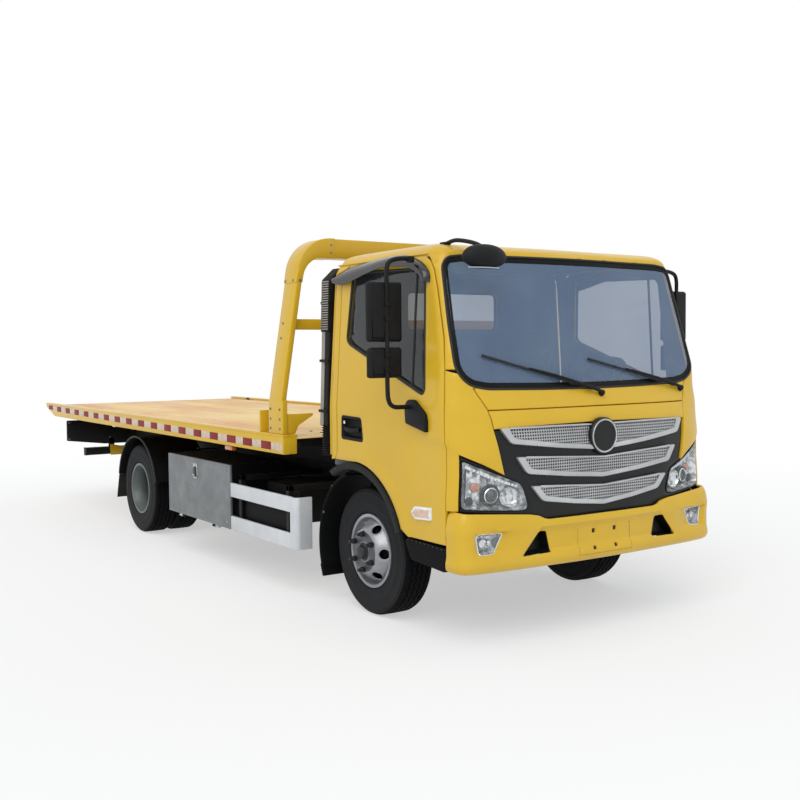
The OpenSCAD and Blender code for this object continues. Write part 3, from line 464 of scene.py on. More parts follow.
def inset(outline, d):
    """The outline moved inward by d."""
    pts = np.array(outline, float)
    u = pts - np.roll(pts, 1, 0)
    u /= np.maximum(np.linalg.norm(u, axis=1), 1e-9)[:, None]
    v = np.roll(u, -1, 0)
    p, q = np.stack([-u[:, 1], u[:, 0]], 1), np.stack([-v[:, 1], v[:, 0]], 1)
    way = (p + q) / np.maximum(1 + (p * q).sum(1), 0.35)[:, None]
    return pts + way * d * (1 if area(pts) > 0 else -1)


def within(points, loop):
    x, y = points[:, 0][:, None], points[:, 1][:, None]
    a, b = loop, np.roll(loop, -1, 0)
    hit = ((a[:, 1] > y) != (b[:, 1] > y))
    rise = np.where(b[:, 1] == a[:, 1], 1e-9, b[:, 1] - a[:, 1])
    cross = a[:, 0] + (y - a[:, 1]) * (b[:, 0] - a[:, 0]) / rise
    return (hit & (x < cross)).sum(1) % 2 == 1


def fill(loops, cell=0.0):
    """Points and triangles of an outline with holes, on an even grid where cell is set."""
    points = np.concatenate(loops)
    edges, base = [], 0
    for loop in loops:
        edges += [(base + k, base + (k + 1) % len(loop)) for k in range(len(loop))]
        base += len(loop)

    def inside(spots):
        keep = within(spots, loops[0])
        for hole in loops[1:]:
            keep &= ~within(spots, hole)
        return keep

    if cell:
        low, high = loops[0].min(0) + cell / 2, loops[0].max(0)
        gx, gy = np.meshgrid(np.arange(low[0], high[0], cell), np.arange(low[1], high[1], cell))
        extra = np.stack([gx.ravel(), gy.ravel()], 1)
        extra = extra[inside(extra)]
        if len(extra):
            gap = np.array([np.min(np.hypot(*(points - e).T)) for e in extra])
            points = np.concatenate([points, extra[gap > cell * 0.45]])
    made = delaunay_2d_cdt([Vector(p) for p in points], edges, [], 0, 1e-4)
    points = np.array([tuple(p) for p in made[0]])
    tris = [list(t) for t in made[2]]
    keep = inside(np.array([points[t].mean(0) for t in tris]))
    return points, [t for t, k in zip(tris, keep) if k]


def lift(flat, plane, d):
    """Points of a flat outline put in space: plane y is a side view, x a front view, z a plan."""
    flat = np.asarray(flat, float)
    d = np.full(len(flat), d, float)
    return np.stack({"y": (flat[:, 0], d, flat[:, 1]), "x": (d, flat[:, 0], flat[:, 1]),
                     "z": (flat[:, 0], flat[:, 1], d)}[plane], -1)


def strip(loops, closed=True):
    """Faces between loops of equal length."""
    n = len(loops[0])
    polys = []
    for k in range(len(loops) - 1):
        for i in range(n if closed else n - 1):
            j = (i + 1) % n
            polys.append([k * n + i, k * n + j, (k + 1) * n + j, (k + 1) * n + i])
    return np.concatenate(loops), polys


def weld(points, polys, tol=0.01):
    """The same faces with points that lie together made one."""
    points = np.asarray(points, float)
    keys, first = {}, []
    index = np.zeros(len(points), int)
    for i, key in enumerate(map(tuple, np.round(points / tol).astype(np.int64))):
        if key not in keys:
            keys[key] = len(first)
            first.append(i)
        index[i] = keys[key]
    polys = [list(dict.fromkeys(int(index[i]) for i in p)) for p in polys]
    return points[first], [p for p in polys if len(p) > 2]


def slab(outline, plane, d0, d1, r=3.0):
    """A plate cut to an outline, with both rims rounded by r."""
    sign = 1 if d1 > d0 else -1
    r = min(r, abs(d1 - d0) / 2.2)
    edge = np.array(outline, float)
    inner, middle = inset(edge, r), inset(edge, r * 0.3)
    rows = ((inner, d0), (middle, d0 + sign * r * 0.3), (edge, d0 + sign * r), (edge, d1 - sign * r),
            (middle, d1 - sign * r * 0.3), (inner, d1))
    rims = strip([lift(line, plane, d) for line, d in rows])
    flat, tris = fill([inner])
    return weld(*merge(rims, (lift(flat, plane, d0), tris), (lift(flat, plane, d1), tris)))


def block(x0, x1, y0, y1, z0, z1, r=4.0):
    return slab(fillet(oblong(x0, x1, y0, y1), r, 4), "z", z0, z1, min(r, 5.0))


def sweep(line, r, sides=12):
    """A round bar along a line; r may change along it."""
    line = np.array(line, float)
    r = np.broadcast_to(np.asarray(r, float), (len(line),))
    way = np.gradient(line, axis=0)
    way /= np.linalg.norm(way, axis=1)[:, None]
    first = np.array((0, 0, 1.0)) if abs(way[0][2]) < 0.9 else np.array((1.0, 0, 0))
    loops = []
    a = circle(sides)[:, None]
    n = first - way[0] * (first @ way[0])
    for p, w, size in zip(line, way, r):
        n = n - w * (n @ w)
        n /= np.linalg.norm(n)
        m = np.cross(w, n)
        loops.append(p + size * (np.cos(a) * n + np.sin(a) * m))
    points, polys = strip(loops)
    polys += [list(range(sides))[::-1], list(range((len(loops) - 1) * sides, len(loops) * sides))]
    return points, polys


def circle(turns):
    return np.linspace(0, 2 * math.pi, turns, endpoint=False)


def ring_arc(middle, r, a0, a1, n=40):
    a = np.radians(np.linspace(a0, a1, n))
    return np.stack([middle[0] + r * np.cos(a), middle[1] + r * np.sin(a)], 1)


def bolt(at, way, r=9.0, h=7.0):
    """A hexagon head with its washer, standing along X, Y or Z."""
    rows = [(0.0, h), (r * 0.86, h), (r, h * 0.8), (r, 1.6), (r * 1.35, 1.5), (r * 1.35, 0.0)]
    loops = []
    for k, (size, w) in enumerate(rows):
        a = circle(12)
        size = np.where(np.arange(12) % 2 == 0, size, size * (0.9 if k < 4 else 1))
        ring = np.stack([np.cos(a) * size, np.sin(a) * size], 1)
        loops.append(np.array(at) + lift(ring, way[0], w if way[1] == "+" else -w))
    return strip(loops)


def flip(parts):
    """The same parts on the left side."""
    return [((np.asarray(points, float) * (1, -1, 1), [list(poly)[::-1] for poly in polys]), material)
            for (points, polys), material in parts]


def both_sides(parts):
    return parts + flip(parts)


mould_black = finish("moulded_black", "0f1012", "17181a", 0.55, patch=5, grain=1500, bump=0.00025,
                     dirt=0.03, shine=0.2)
# Black plastic made darker still: painted shade on the wheel shells and step boxes in the dark low on the
# truck, on the tool box bodies and on the sheet behind the side guards.
black_plastic_and_shade = finish("black_plastic_and_shade", "060708", "0b0c0d", 0.6, patch=5, grain=1500, bump=0.00025, shine=0.1)
flap_rubber = finish("flap_rubber", "111112", "1b1a19", 0.8, patch=4, grain=300, bump=0.0006, dirt=0.1,
                     shine=0.2)
rim_grey = finish("rolled_rim", "2b2c2e", "1e1f20", 0.5, patch=8, dirt=0.06, shine=0.25)


def front_arc(r, a0=108, a1=200, n=34):
    return ring_arc((0, TYRE_R), r, a0, a1, n)


def rear_arc(r, a0=12, a1=168):
    return ring_arc((-WHEELBASE, TYRE_R), r, a0, a1, 60)


arch_line = np.concatenate([front_arc(FRONT_SHELL_R), [(-486, 250), (-458, 172), (-444, 176), (-470, 252)],
                            front_arc(FRONT_SHELL_R - SHELL_WALL, 200, 108)])
rim_line = np.concatenate([front_arc(FRONT_SHELL_R - 3), [(-484, 250), (-456, 174)]])
shell_side = [(slab(arch_line, "y", FRONT_SHELL_OUT, FRONT_SHELL_IN, 3), black_plastic_and_shade),
              (sweep(lift(rim_line, "y", FRONT_SHELL_OUT + 2), 9, 10), black_plastic_and_shade)]
for w in (-930, -860, -790):
    shell_side.append((sweep(lift(front_arc(FRONT_SHELL_R, 112, 198, 30), "y", w), 5, 8), black_plastic_and_shade))
shell_side.append((block(-462, -408, FRONT_SHELL_IN - 40, RAIL_SIDE, 640, 700, 5), chassis_black))
for x, z in ((-330, 778), (-448, 600)):
    shell_side.append((bolt((x, FRONT_SHELL_OUT + 1, z), "y-", 8, 5), nut_steel))
hoop = np.concatenate([rear_arc(REAR_SHELL_R), rear_arc(REAR_SHELL_R - SHELL_WALL, 168, 12)])
flap = fillet([(-4276, FLAP_TOP), (-4262, FLAP_TOP), (-4343, FLAP_FOOT + 1), (-4357, FLAP_FOOT)], 4)
shell_side += [(slab(hoop, "y", REAR_SHELL_OUT, REAR_SHELL_IN, 3), black_plastic_and_shade),
               (sweep(lift(rear_arc(REAR_SHELL_R - 2), "y", REAR_SHELL_OUT + 2), 9, 10), rim_grey),
               (slab(flap, "y", REAR_SHELL_OUT + 2, REAR_SHELL_IN - 2, 3), flap_rubber),
               (block(-4290, -4262, REAR_SHELL_OUT + 8, REAR_SHELL_IN - 8, FLAP_TOP - 26, FLAP_TOP - 6, 3),
                rim_grey)]
for x in (-4110, -3490):
    shell_side.append((block(x - 14, x + 14, -606, RAIL_SIDE, 750, 766, 4), chassis_black))
    shell_side.append((bolt((x, -585, 766), "z+", 8, 6), nut_steel))
piece("wheel_shells", "chassis", both_sides(shell_side), ["front_mudguards", "rear_mudguards"])


# Steps behind the bumper ends: closed black moulded boxes below the doors with a toothed metal
# tread on top, hung from the rails by square brackets.
STEP_OUT, STEP_IN = -1002, -772
TEETH, TOOTH_PITCH, TOOTH_FIRST = 18, 20.5, 528
STEP_REAR, STEP_TOP, STEP_FALL = 512, 561, 14 / 392
step_line = [(500, 548), (512, 562), (904, 548), (908, 540), (905, 436), (880, 424), (560, 446)]
step_side = [(slab(fillet(step_line, 14), "y", STEP_OUT, STEP_IN, 6), black_plastic_and_shade),
             (block(560, 640, STEP_IN, RAIL_SIDE, 480, 560, 6), chassis_black),
             (block(560, 640, RAIL_SIDE - 12, RAIL_SIDE, 480, 700, 4), chassis_black)]
for k in range(TEETH):
    x = TOOTH_FIRST + k * TOOTH_PITCH
    z = STEP_TOP - (x - STEP_REAR) * STEP_FALL
    for rise, tip, stagger, root in ((6, -1004, 7, -955), (5, -940, 9, -880)):
        tooth = fillet([(x, z - 3), (x + 12, z - 3.5), (x + 11, z + rise), (x + 1, z + rise)], 2, 3)
        step_side.append((slab(tooth, "y", tip + (k % 2) * stagger, root, 2), rim_grey))
piece("door_steps", "chassis", both_sides(step_side), ["front_steps"])


# Tool boxes: folded aluminium sheet with a drop down front on piano hinges, held by a paddle
# latch; the sheet is mill finished and has gone blotchy with handling.
def stretched(f, where, by):
    return f.node("VectorMath", {"operation": "MULTIPLY"}, _0=where, _1=by)


def brushed(f, where, tone, dull, height):
    """Fine streaks across the sheet and the stains of handling."""
    streak = f.node("TexNoise", Vector=stretched(f, where, (4, 4, 160)), Scale=1.0, Detail=4.0)
    stain = ramp(f, f.node("TexNoise", Vector=where, Scale=11.0, Detail=9.0, Roughness=0.75), 0.42, 0.7)
    tone = blend(f, stain * 0.5, tone, rgb("777c80"))
    return tone, dull + streak * 0.16 + stain * 0.12 - 0.1, height + streak * 2.0


sheet_alloy = finish("mill_alloy", "828789", "6f7476", 0.44, metal=0.55, patch=6, grain=500, bump=0.00008,
                     dirt=0.05, work=brushed)
latch_steel = finish("latch_steel", "c8cbcd", "8e9194", 0.22, metal=0.95, patch=30, grain=800, bump=0.00004)
BOX_REAR, BOX_FRONT, BOX_LOW, BOX_TOP, BOX_FACE = -2905, -1685, 320, 805, -1099
LATCH_X, LATCH_Z = -2330, 705
HINGE_MIDDLE, HINGE_APART, HINGE_HALF, HINGE_Y, HINGE_Z = -2295, 361, 30, -1089, 308
# The tool box bodies behind their alloy fronts take the darkest black: painted shade.
dress(["toolboxes"], black_plastic_and_shade, 0.002)
front = fillet(oblong(BOX_REAR, BOX_FRONT, BOX_LOW, BOX_TOP), 6)
box_side = [(slab(front, "y", BOX_FACE, BOX_FACE + 20, 3), sheet_alloy)]
for z in (BOX_TOP - 20, BOX_LOW + 4):
    box_side.append((block(BOX_REAR + 4, BOX_FRONT - 4, -1100.5, BOX_FACE + 2, z, z + 16, 2), sheet_alloy))
for x in (BOX_REAR + 4, BOX_FRONT - 20):
    box_side.append((block(x, x + 16, -1100.5, BOX_FACE + 2, BOX_LOW + 22, BOX_TOP - 22, 2), sheet_alloy))
plate = oblong(LATCH_X - 42, LATCH_X + 42, LATCH_Z - 62, LATCH_Z + 62)
dished = [(LATCH_X - 30, LATCH_Z - 48), (LATCH_X + 30, LATCH_Z - 48), (LATCH_X + 26, LATCH_Z + 30),
          (LATCH_X - 26, LATCH_Z + 30)]
paddle = [(LATCH_X + x, y, LATCH_Z + z) for x, y, z in ((-18, -1112, -30), (0, -1118, -34), (18, -1112, -30))]
lock = [(LATCH_X, -1104, LATCH_Z + 44), (LATCH_X, -1114, LATCH_Z + 44)]
box_side += [(slab(fillet(plate, 14), "y", -1105, -1098, 3), latch_steel),
             (slab(fillet(dished, 12), "y", -1111, -1104, 4), hub_dark),
             (sweep(paddle, 8, 10), latch_steel), (sweep(lock, [15, 12], 16), latch_steel)]
for x in (HINGE_MIDDLE - HINGE_APART, HINGE_MIDDLE + HINGE_APART):
    ends = x - HINGE_HALF, x + HINGE_HALF
    box_side += [(sweep([(end, HINGE_Y, HINGE_Z) for end in ends], 10, 16), latch_steel),
                 (block(*ends, HINGE_Y - 5, HINGE_Y + 5, HINGE_Z, HINGE_Z + 15, 2), latch_steel)]
for x in (BOX_REAR + 60, BOX_FRONT - 60):
    for z in (BOX_LOW + 50, BOX_TOP - 50):
        box_side.append((bolt((x, BOX_FACE, z), "y-", 6, 4), latch_steel))


def handed(name, body, parts, replaces):
    """The right hand piece and its mirror image on the left, each on its own body."""
    for side_name, out in SIDES:
        piece(name + side_name, body + side_name, parts if out < 0 else flip(parts),
              [node + side_name for node in replaces])


handed("box_front_", "toolbox_door_", box_side, ["toolbox_door_"])


# Side guards: two light grey pressed rails a side between tool box and cab, joined by a front plate
# that wraps round its corner, on stays bolted to the frame, with a thin black sheet behind them that is
# painted shade.
GUARD_OUT, GUARD_IN, GUARD_REAR, GUARD_FRONT = -1099, -1076, -1680, -733
GUARD_LOW, GUARD_TOP, RAIL_HIGH = 320, 673, 105
WRAP_AT, WRAP_R, WRAP_WALL = (-690, -1062), 38, 12
guard_paint = finish("guard_paint", "d6d9dd", "c9ccd1", 0.4, metal=0.1, patch=4, grain=700, bump=0.0001,
                     coat=0.1, dirt=0.06)
guard_side = []
for z in (GUARD_LOW, GUARD_TOP - RAIL_HIGH):
    rail = fillet(oblong(GUARD_OUT, GUARD_IN, z, z + RAIL_HIGH), 7)
    guard_side.append((slab(rail, "x", GUARD_REAR, GUARD_FRONT, 3), guard_paint))
wrap = np.concatenate([[(GUARD_FRONT + 1, -1100), (-690, -1100)], ring_arc(WRAP_AT, WRAP_R, -90, 0, 10),
                       [(-652, -975), (-664, -975)], ring_arc(WRAP_AT, WRAP_R - WRAP_WALL, 0, -90, 10),
                       [(GUARD_FRONT + 1, -1088)]])
# A black sheet behind the rails: painted shade.
shade_sheet = [(-1676, 340), (-760, 340), (-748, 352), (-748, 596), (-1676, 596)]
guard_side += [(slab(wrap, "z", GUARD_LOW, GUARD_TOP, 3), guard_paint),
               (slab(fillet(shade_sheet, 6), "y", -1052, -1046, 2), black_plastic_and_shade)]
for x in (-1560, -812):
    guard_side += [(block(x - 20, x + 20, GUARD_IN, GUARD_IN + 20, GUARD_LOW, GUARD_TOP, 4), chassis_black),
                   (block(x - 20, x + 20, GUARD_IN, RAIL_SIDE, 700, 740, 4), chassis_black),
                   (block(x - 20, x + 20, GUARD_IN, GUARD_IN + 40, 640, 740, 4), chassis_black)]
piece("guard_rails", "chassis", both_sides(guard_side), ["side_guards"])


# The cab front: pressed steel panels in yellow paint, spot welded over a floor pan, each rolled in
# at its edge with an even gap to its neighbour, and lined inside with grey board.
WRAP, RUN_ON, CAB_HALF = 1060.0, 1.3, 1010
CAB_BACK, REAR_BEND = -372.0, 48.0
RIB_LOW, RIB_HIGH = 1010, 1440
GAP, PILLAR_FOOT, HOOD_TOP = 3.0, 1545, 1321
ARCH = (-40.0, 402.0)


def ease(a, b, v):
    t = np.clip((np.asarray(v, float) - a) / (b - a), 0, 1)
    return t * t * (3 - 2 * t)


def blur(values, width):
    """A moving mean that keeps the slope at both ends."""
    pad_by = 4 * width
    low = 2 * values[0] - values[pad_by:0:-1]
    high = 2 * values[-1] - values[-2:-pad_by - 2:-1]
    long = np.concatenate([low, values, high])
    for _ in range(2):
        long = np.convolve(long, np.ones(2 * width + 1) / (2 * width + 1), "same")
    return long[pad_by:-pad_by]


def ruled(table, width):
    """Setback and half width along the wrap of the nose, even in length and run on past its end."""
    table = np.array(table, float)
    length = np.concatenate([[0], np.cumsum(np.hypot(np.diff(table[:, 0]), np.diff(table[:, 1]) * width))])
    end = length[-1]
    table = np.concatenate([table, [(table[-1, 0] - end * 0.3, table[-1, 1])]])
    at = np.linspace(-0.3, RUN_ON, 641)
    length = np.concatenate([length / end, [RUN_ON]])
    x = np.interp(np.abs(at), length, table[:, 0])
    y = np.interp(np.abs(at), length, table[:, 1]) * np.sign(at)
    return at, blur(x, 7), blur(y, 7)


at_z = np.arange(400, 2300, 5.0)
nose_z = blur(np.interp(at_z, [500, 1050, 1130, 1200, 1260, 1317, 1365, 1415, 2203, 2260],
                        [1100, 1100, 1096, 1086, 1070, 1049, 1024, 995, 776, 760]), 5)
half_z = blur(np.interp(at_z, [500, 1300, 1450, 2130, 2170, 2200, 2260],
                        [CAB_HALF, CAB_HALF, 1000, 955, 944, 933, 900]), 5)
wrap_s, low_x, low_y = ruled([(0, 0), (0, 250), (-5, 420), (-13, 550), (-36, 710), (-62, 835), (-105, 940),
                              (-128, 974), (-150, 996), (-175, 1007), (-200, CAB_HALF)], 1)
_, top_x, top_y = ruled([(20, 0), (14, .25), (-2, .5), (-8, .8), (-14, .937), (-30, .965), (-58, .985),
                         (-85, .997), (-115, 1)], 980)


def half(z):
    return np.interp(z, at_z, half_z)


def cab(u, z):
    """The outer wall: u runs from the middle of the nose to the left, round the corner and back."""
    u, z = np.broadcast_arrays(np.asarray(u, float), np.asarray(z, float))
    s = np.minimum(np.abs(u) / WRAP, RUN_ON)
    w = ease(1180, 1560, z)
    off = np.interp(s, wrap_s, low_x) * (1 - w) + np.interp(s, wrap_s, top_x) * w
    t = np.interp(s, wrap_s, low_y) / CAB_HALF * (1 - w) + np.interp(s, wrap_s, top_y) * w
    x = np.interp(z, at_z, nose_z) + off - np.maximum(np.abs(u) - RUN_ON * WRAP, 0)
    from_arch = np.hypot(x - ARCH[0], z - ARCH[1])
    arch_swell = 11 * (1 - ease(618, 650, from_arch)) * ease(540, 700, np.abs(u) - 700)
    fall = np.interp(x, (500, 560, 904, 985, 1064), (1172, 1165, 1129, 1080, 1000))
    dent = 10 * (1 - ease(-12, 12, z - fall)) * ease(480, 640, x)
    dent = dent * ease(700, 820, np.abs(u)) * ease(800, 1000, z)
    dent_back = dent * (np.abs(u) < WRAP) * 0.3
    return np.stack([x - dent_back, np.sign(u) * (t * half(z) + arch_swell - dent), z], -1)


def rear(u, z):
    """The back of the cab with its round corners; u runs from left to right."""
    u, z = np.broadcast_arrays(np.asarray(u, float), np.asarray(z, float))
    a = np.clip((np.abs(u) - (half(z) - REAR_BEND)) / REAR_BEND, 0, math.pi / 2)
    y = np.minimum(np.abs(u), half(z) - REAR_BEND) + REAR_BEND * np.sin(a)
    ribbed = (1 - ease(620, 700, np.abs(u))) * (z < RIB_HIGH) * (z > RIB_LOW) * (a == 0)
    rib = 5 * np.clip(np.sin(z / 34), 0, 1) ** 0.5 * ribbed
    x = CAB_BACK + REAR_BEND * (1 - np.cos(a)) + 40 * ease(2120, 2215, z) ** 2 - rib
    return np.stack([x, -np.sign(u) * y, z], -1)


def outward(surface, u, z):
    """The way straight out of a curved wall, of length one."""
    n = np.cross(surface(u + 2, z) - surface(u - 2, z), surface(u, z + 2) - surface(u, z - 2))
    return n / np.linalg.norm(n, axis=-1)[..., None]


def sunk(surface, u, z, d):
    """Points at a depth behind a curved wall."""
    u, z = np.broadcast_arrays(np.asarray(u, float), np.asarray(z, float))
    return surface(u, z) - outward(surface, u, z) * np.asarray(d, float)[..., None]


def wall_point(u, z, d):
    return sunk(cab, u, z, d)


def u_at(x, z):
    """Where on the right wall the point with this x lies."""
    u = np.arange(0, 2700, 4.0)
    return -np.interp(-x, -cab(-u, np.full(len(u), float(z)))[:, 0] + u * 1e-9, u)


def dense(outline, step):
    """A closed outline cut into short steps."""
    pts = np.array(outline, float)
    made = []
    for a, b in zip(pts, np.roll(pts, -1, 0)):
        n = max(1, int(np.ceil(np.linalg.norm(b - a) / step)))
        made.extend([a + (b - a) * k / n for k in range(n)])
    return np.array(made)


def on_wall(points, closed=True):
    """A line on the right wall from its side view, taken in short steps."""
    fine = dense(points, 24)
    if not closed:
        fine = fine[:1 + int(np.argmin(np.hypot(*(fine - points[-1]).T)))]
    return np.array([(u_at(x, z), z) for x, z in fine])


def panel(surface, outline, holes=(), depth=14.0, round=4.0, cell=32.0, sink=0.0, step=14.0):
    """A sheet laid on a curved wall with its rims rolled in: the outer skin and the inner one."""
    loops = [dense(outline, step)] + [dense(h, step) for h in holes]
    turn_in = [1] + [-1] * len(holes)

    def put(flat, d):
        return sunk(surface, flat[:, 0], flat[:, 1], d + sink)

    inner = [inset(a, round * k) for a, k in zip(loops, turn_in)]
    middle = [inset(a, round * 0.3 * k) for a, k in zip(loops, turn_in)]
    flat, tris = fill(inner, cell)
    outer = [(put(flat, 0), tris)]
    for a, m, i in zip(loops, middle, inner):
        outer.append(strip([put(i, 0), put(m, round * 0.3), put(a, round), put(a, depth)]))
    flat, tris = fill(loops, cell * 2)
    return weld(*merge(*outer)), (put(flat, depth), tris)


def skin(*args, **sizes):
    """The outer face of a panel alone."""
    return panel(*args, **sizes)[0]


def enamel(f, where, tone, dull, height):
    """A few fine scratches along the panels, paler and duller than the lacquer."""
    scratch = f.node("TexNoise", Vector=stretched(f, where, (3, 3, 90)), Scale=6.0, Detail=2.0)
    mark = ramp(f, scratch, 0.68, 0.74)
    return blend(f, mark * 0.07, tone, rgb("f0d48a")), dull + mark * 0.1, height


yellow = finish("yellow_enamel", "d9b129", "d3aa23", 0.34, drift=0.08, patch=1.6, grain=240, bump=0.00012,
                coat=0.22, dirt=0.02, shine=0.35, work=enamel)
board_grey = finish("trim_board", "6a6c6e", "5c5e60", 0.75, patch=6, grain=1200, bump=0.0003)
seal = finish("seal_rubber", "121314", "1b1c1d", 0.62, patch=12, grain=900, bump=0.0002)
dress(["cab_floor"], board_grey, 0.004)


def sheet(*args, **sizes):
    """A painted panel and its grey lining."""
    outer, inner = panel(*args, **sizes)
    return [(outer, yellow), (inner, board_grey)]


def pairs(points):
    return [tuple(p) for p in points]


def mirror_loop(points):
    """A right hand line from low to high made into a closed loop over both sides."""
    points = pairs(points)
    return points + [(-u, z) for u, z in reversed(points) if abs(u) > 1e-6]


SEAM = [(910, 584), (904, 1117), (897, 1300), (878, 1558), (850, 1720), (770, 2000), (732, 2110), (697, 2160),
        (640, 2193)]
SCREEN = [(0, 1424), (400, 1428), (757, 1436), (863, 1456), (925, 1500), (958, 1560), (966, 1800),
          (962, 2130), (935, 2176), (831, 2190), (400, 2193), (0, 2194)]
SCREEN = fillet([(-u, z) for u, z in SCREEN] + [(u, z) for u, z in SCREEN[-2:0:-1]], 34, 4)
SHUT = [(-848, 1441), (-812, 1384), (-777, HOOD_TOP), (-764, 1270), (-757, 1218)]
CHEEK = [(-757, 1218), (-739, 1120), (-720, 1030), (-704, 962), (-842, 1025), (-973, 1082), (-973, 772)]
FRAME_CORNER = (-1064, 2199)
seam_front = on_wall(SEAM, closed=False) + (GAP, 0)
seam_foot = np.array([np.interp(PILLAR_FOOT, seam_front[:, 1], seam_front[:, 0]), PILLAR_FOOT])
right_edge = np.array([p for p in inset(SCREEN, -4.0) if p[0] < -1e-6])


def seam_part(low, high):
    return pairs(p for p in seam_front if low < p[1] < high)


pillar_edge = pairs(p for p in right_edge if p[1] > PILLAR_FOOT - 12)
frame_right = [tuple(seam_foot + (0, GAP))] + seam_part(1560, 2165) + [FRAME_CORNER]
frame_loop = mirror_loop(frame_right) + [(-u, z) for u, z in pillar_edge] + pillar_edge[::-1]
front_parts = sheet(cab, frame_loop, depth=30)
cheek_top = pairs(p for p in right_edge[::-1] if 1442 < p[1] < PILLAR_FOOT - 14 and p[0] < -830)
cheek = [tuple(seam_foot - (0, GAP))] + cheek_top + [(u - GAP, z) for u, z in SHUT] + CHEEK[1:]
cheek += [(seam_front[0][0], CHEEK[-1][1])] + seam_part(800, PILLAR_FOOT - 20)
front_parts += both_sides(sheet(cab, cheek, depth=24))
sill = pairs(p for p in right_edge if p[0] > -846 and p[1] < 1500)
scuttle = [(-777 + GAP, HOOD_TOP + GAP), (-812 + GAP, 1384), (-845 + GAP, 1436)] + sill[::-1]
front_parts += sheet(cab, mirror_loop(scuttle), depth=20)
hood = [(u + GAP, z - (GAP if z == HOOD_TOP else 0)) for u, z in SHUT[2:]]
hood = [(0.0, 1233), (-400, 1228)] + hood[::-1]
front_parts += sheet(cab, mirror_loop(hood), depth=20)
piece("cab_front_skin", "chassis", front_parts, ["cab_front"])


# The roof: one pressing in yellow paint, drawn in from the top edge of the walls to a nearly flat
# crown, welded to them under a narrow gutter and lined with grey board.
WALL_TOP, ROOF_HEM, LINING_DROP = 2200.0, 16, 34
ROOF_ROWS = 46
rim_u = np.concatenate([np.linspace(0, 900, 24), np.linspace(905, 1180, 40), np.linspace(1200, 2058, 40)])
wall_edge = cab(-rim_u, np.full(len(rim_u), WALL_TOP))
end_x, end_y = CAB_BACK + 40, -half(WALL_TOP)
turn = np.radians(np.linspace(8, 90, 12))[:, None]
rear_corner = np.concatenate([end_x + REAR_BEND - REAR_BEND * np.sin(turn),
                              end_y + REAR_BEND - REAR_BEND * np.cos(turn)], 1)
rear_edge = np.stack([np.full(20, end_x), np.linspace(end_y + 60, 0, 20)], 1)
roof_rim = np.concatenate([wall_edge[wall_edge[:, 0] > end_x + REAR_BEND][:, :2], rear_corner, rear_edge])
roof_rim = np.concatenate([roof_rim, roof_rim[-2:0:-1] * (1, -1)])
spine = np.stack([np.clip(roof_rim[:, 0], -120, 520), np.zeros(len(roof_rim))], 1)


def crown(points, lowered):
    """Height of the roof over a point, from how far it lies inside the top edge of the walls."""
    weight = np.where(roof_rim[:, 0] > 200, 0.6, 1.15)
    rim_x, rim_y = roof_rim.T
    inside = np.array([np.min(np.hypot((rim_x - x) * weight, rim_y - y)) for x, y in points])
    rise = np.interp(inside, (0, 12, 28, 48, 75, 133, 250, 433, 900), (0, 22, 38, 50, 60, 73, 84, 91, 95))
    return WALL_TOP + rise - lowered


def roof(lowered, pull):
    loops = []
    for t in np.linspace(0, 1, ROOF_ROWS) ** 1.5:
        flat = roof_rim + (spine - roof_rim) * (t * (1 - pull) + pull)
        loops.append(np.concatenate([flat, crown(flat, lowered)[:, None]], 1))
    return strip(loops)


lining = roof(LINING_DROP, 0.03)
roof_skin = roof(0, 0)
rows = roof_skin[0].reshape(ROOF_ROWS, len(roof_rim), 3)
for _ in range(3):
    rows[1:-1, :, 2] = (rows[:-2, :, 2] + 2 * rows[1:-1, :, 2] + rows[2:, :, 2]) / 4
hem = np.concatenate([roof_rim, np.full((len(roof_rim), 1), WALL_TOP - ROOF_HEM)], 1)
roof_parts = [(weld(*roof_skin), yellow), (lining, board_grey), (strip([rows[0], hem]), yellow)]
gutter = wall_edge[wall_edge[:, 0] < 660] + (0, -3, 0)
roof_parts += both_sides([(sweep(gutter, 5, 8), yellow)])
piece("roof_skin", "chassis", roof_parts, ["cab_roof"])


# The cab back: a ribbed steel wall in yellow paint with a window opening, welded to the narrow
# quarters behind the doors, round at its corners and lined inside.
WALL_FOOT, WALL_HEAD = 985, 2198
REAR_GLASS = fillet(oblong(-385, 385, 1783, 2050), 50, 6)
edge_u = half(1500) - REAR_BEND + REAR_BEND * math.pi / 2 - GAP
wall_right = [(edge_u, WALL_FOOT), (edge_u, 1300), (edge_u - 10, 1450), (edge_u - 55, 2130),
              (edge_u - 78, WALL_HEAD)]
wall_line = [(-edge_u, WALL_FOOT)] + wall_right + [(-u, z) for u, z in wall_right[:0:-1]]
back_parts = sheet(rear, wall_line, [REAR_GLASS], depth=24, cell=20)
QUARTER = CAB_BACK + 52
quarter = on_wall([(QUARTER, WALL_FOOT), (QUARTER, 1500), (QUARTER, WALL_HEAD), (-175, 2199), (-195, 2192),
                   (-240, 2150), (-256, 2085), (-256, 1500), (-256, 990), (-262, 968), (-300, 960)])
back_parts += both_sides(sheet(cab, quarter, depth=22))
piece("cab_back_skin", "chassis", back_parts, ["cab_back_wall"])


# Screens: laminated glass bonded into its opening on a black printed border, with a rubber lip all
# round; the rear window sits in a plain rubber seal.
BORDER = 36.0


def pane(name, colour, shade, alpha, rough=0.04):
    made = finish(name, colour, shade, rough, drift=0.05, patch=2.2, grain=30, bump=0.00002,
                  coat=0.3, alpha=alpha)
    made.surface_render_method = "BLENDED"
    return made


def lip(surface, loop, r, sink):
    """A rubber cord laid along a closed line of a curved wall."""
    u, z = dense(loop, 16).T
    n = outward(surface, u, z)
    line = sunk(surface, u, z, sink)
    way = np.roll(line, -1, 0) - np.roll(line, 1, 0)
    way /= np.linalg.norm(way, axis=1)[:, None]
    m = np.cross(way, n)
    loops = [line + r * (math.cos(k) * n + math.sin(k) * m) for k in circle(8)]
    return strip(loops + [loops[0]])


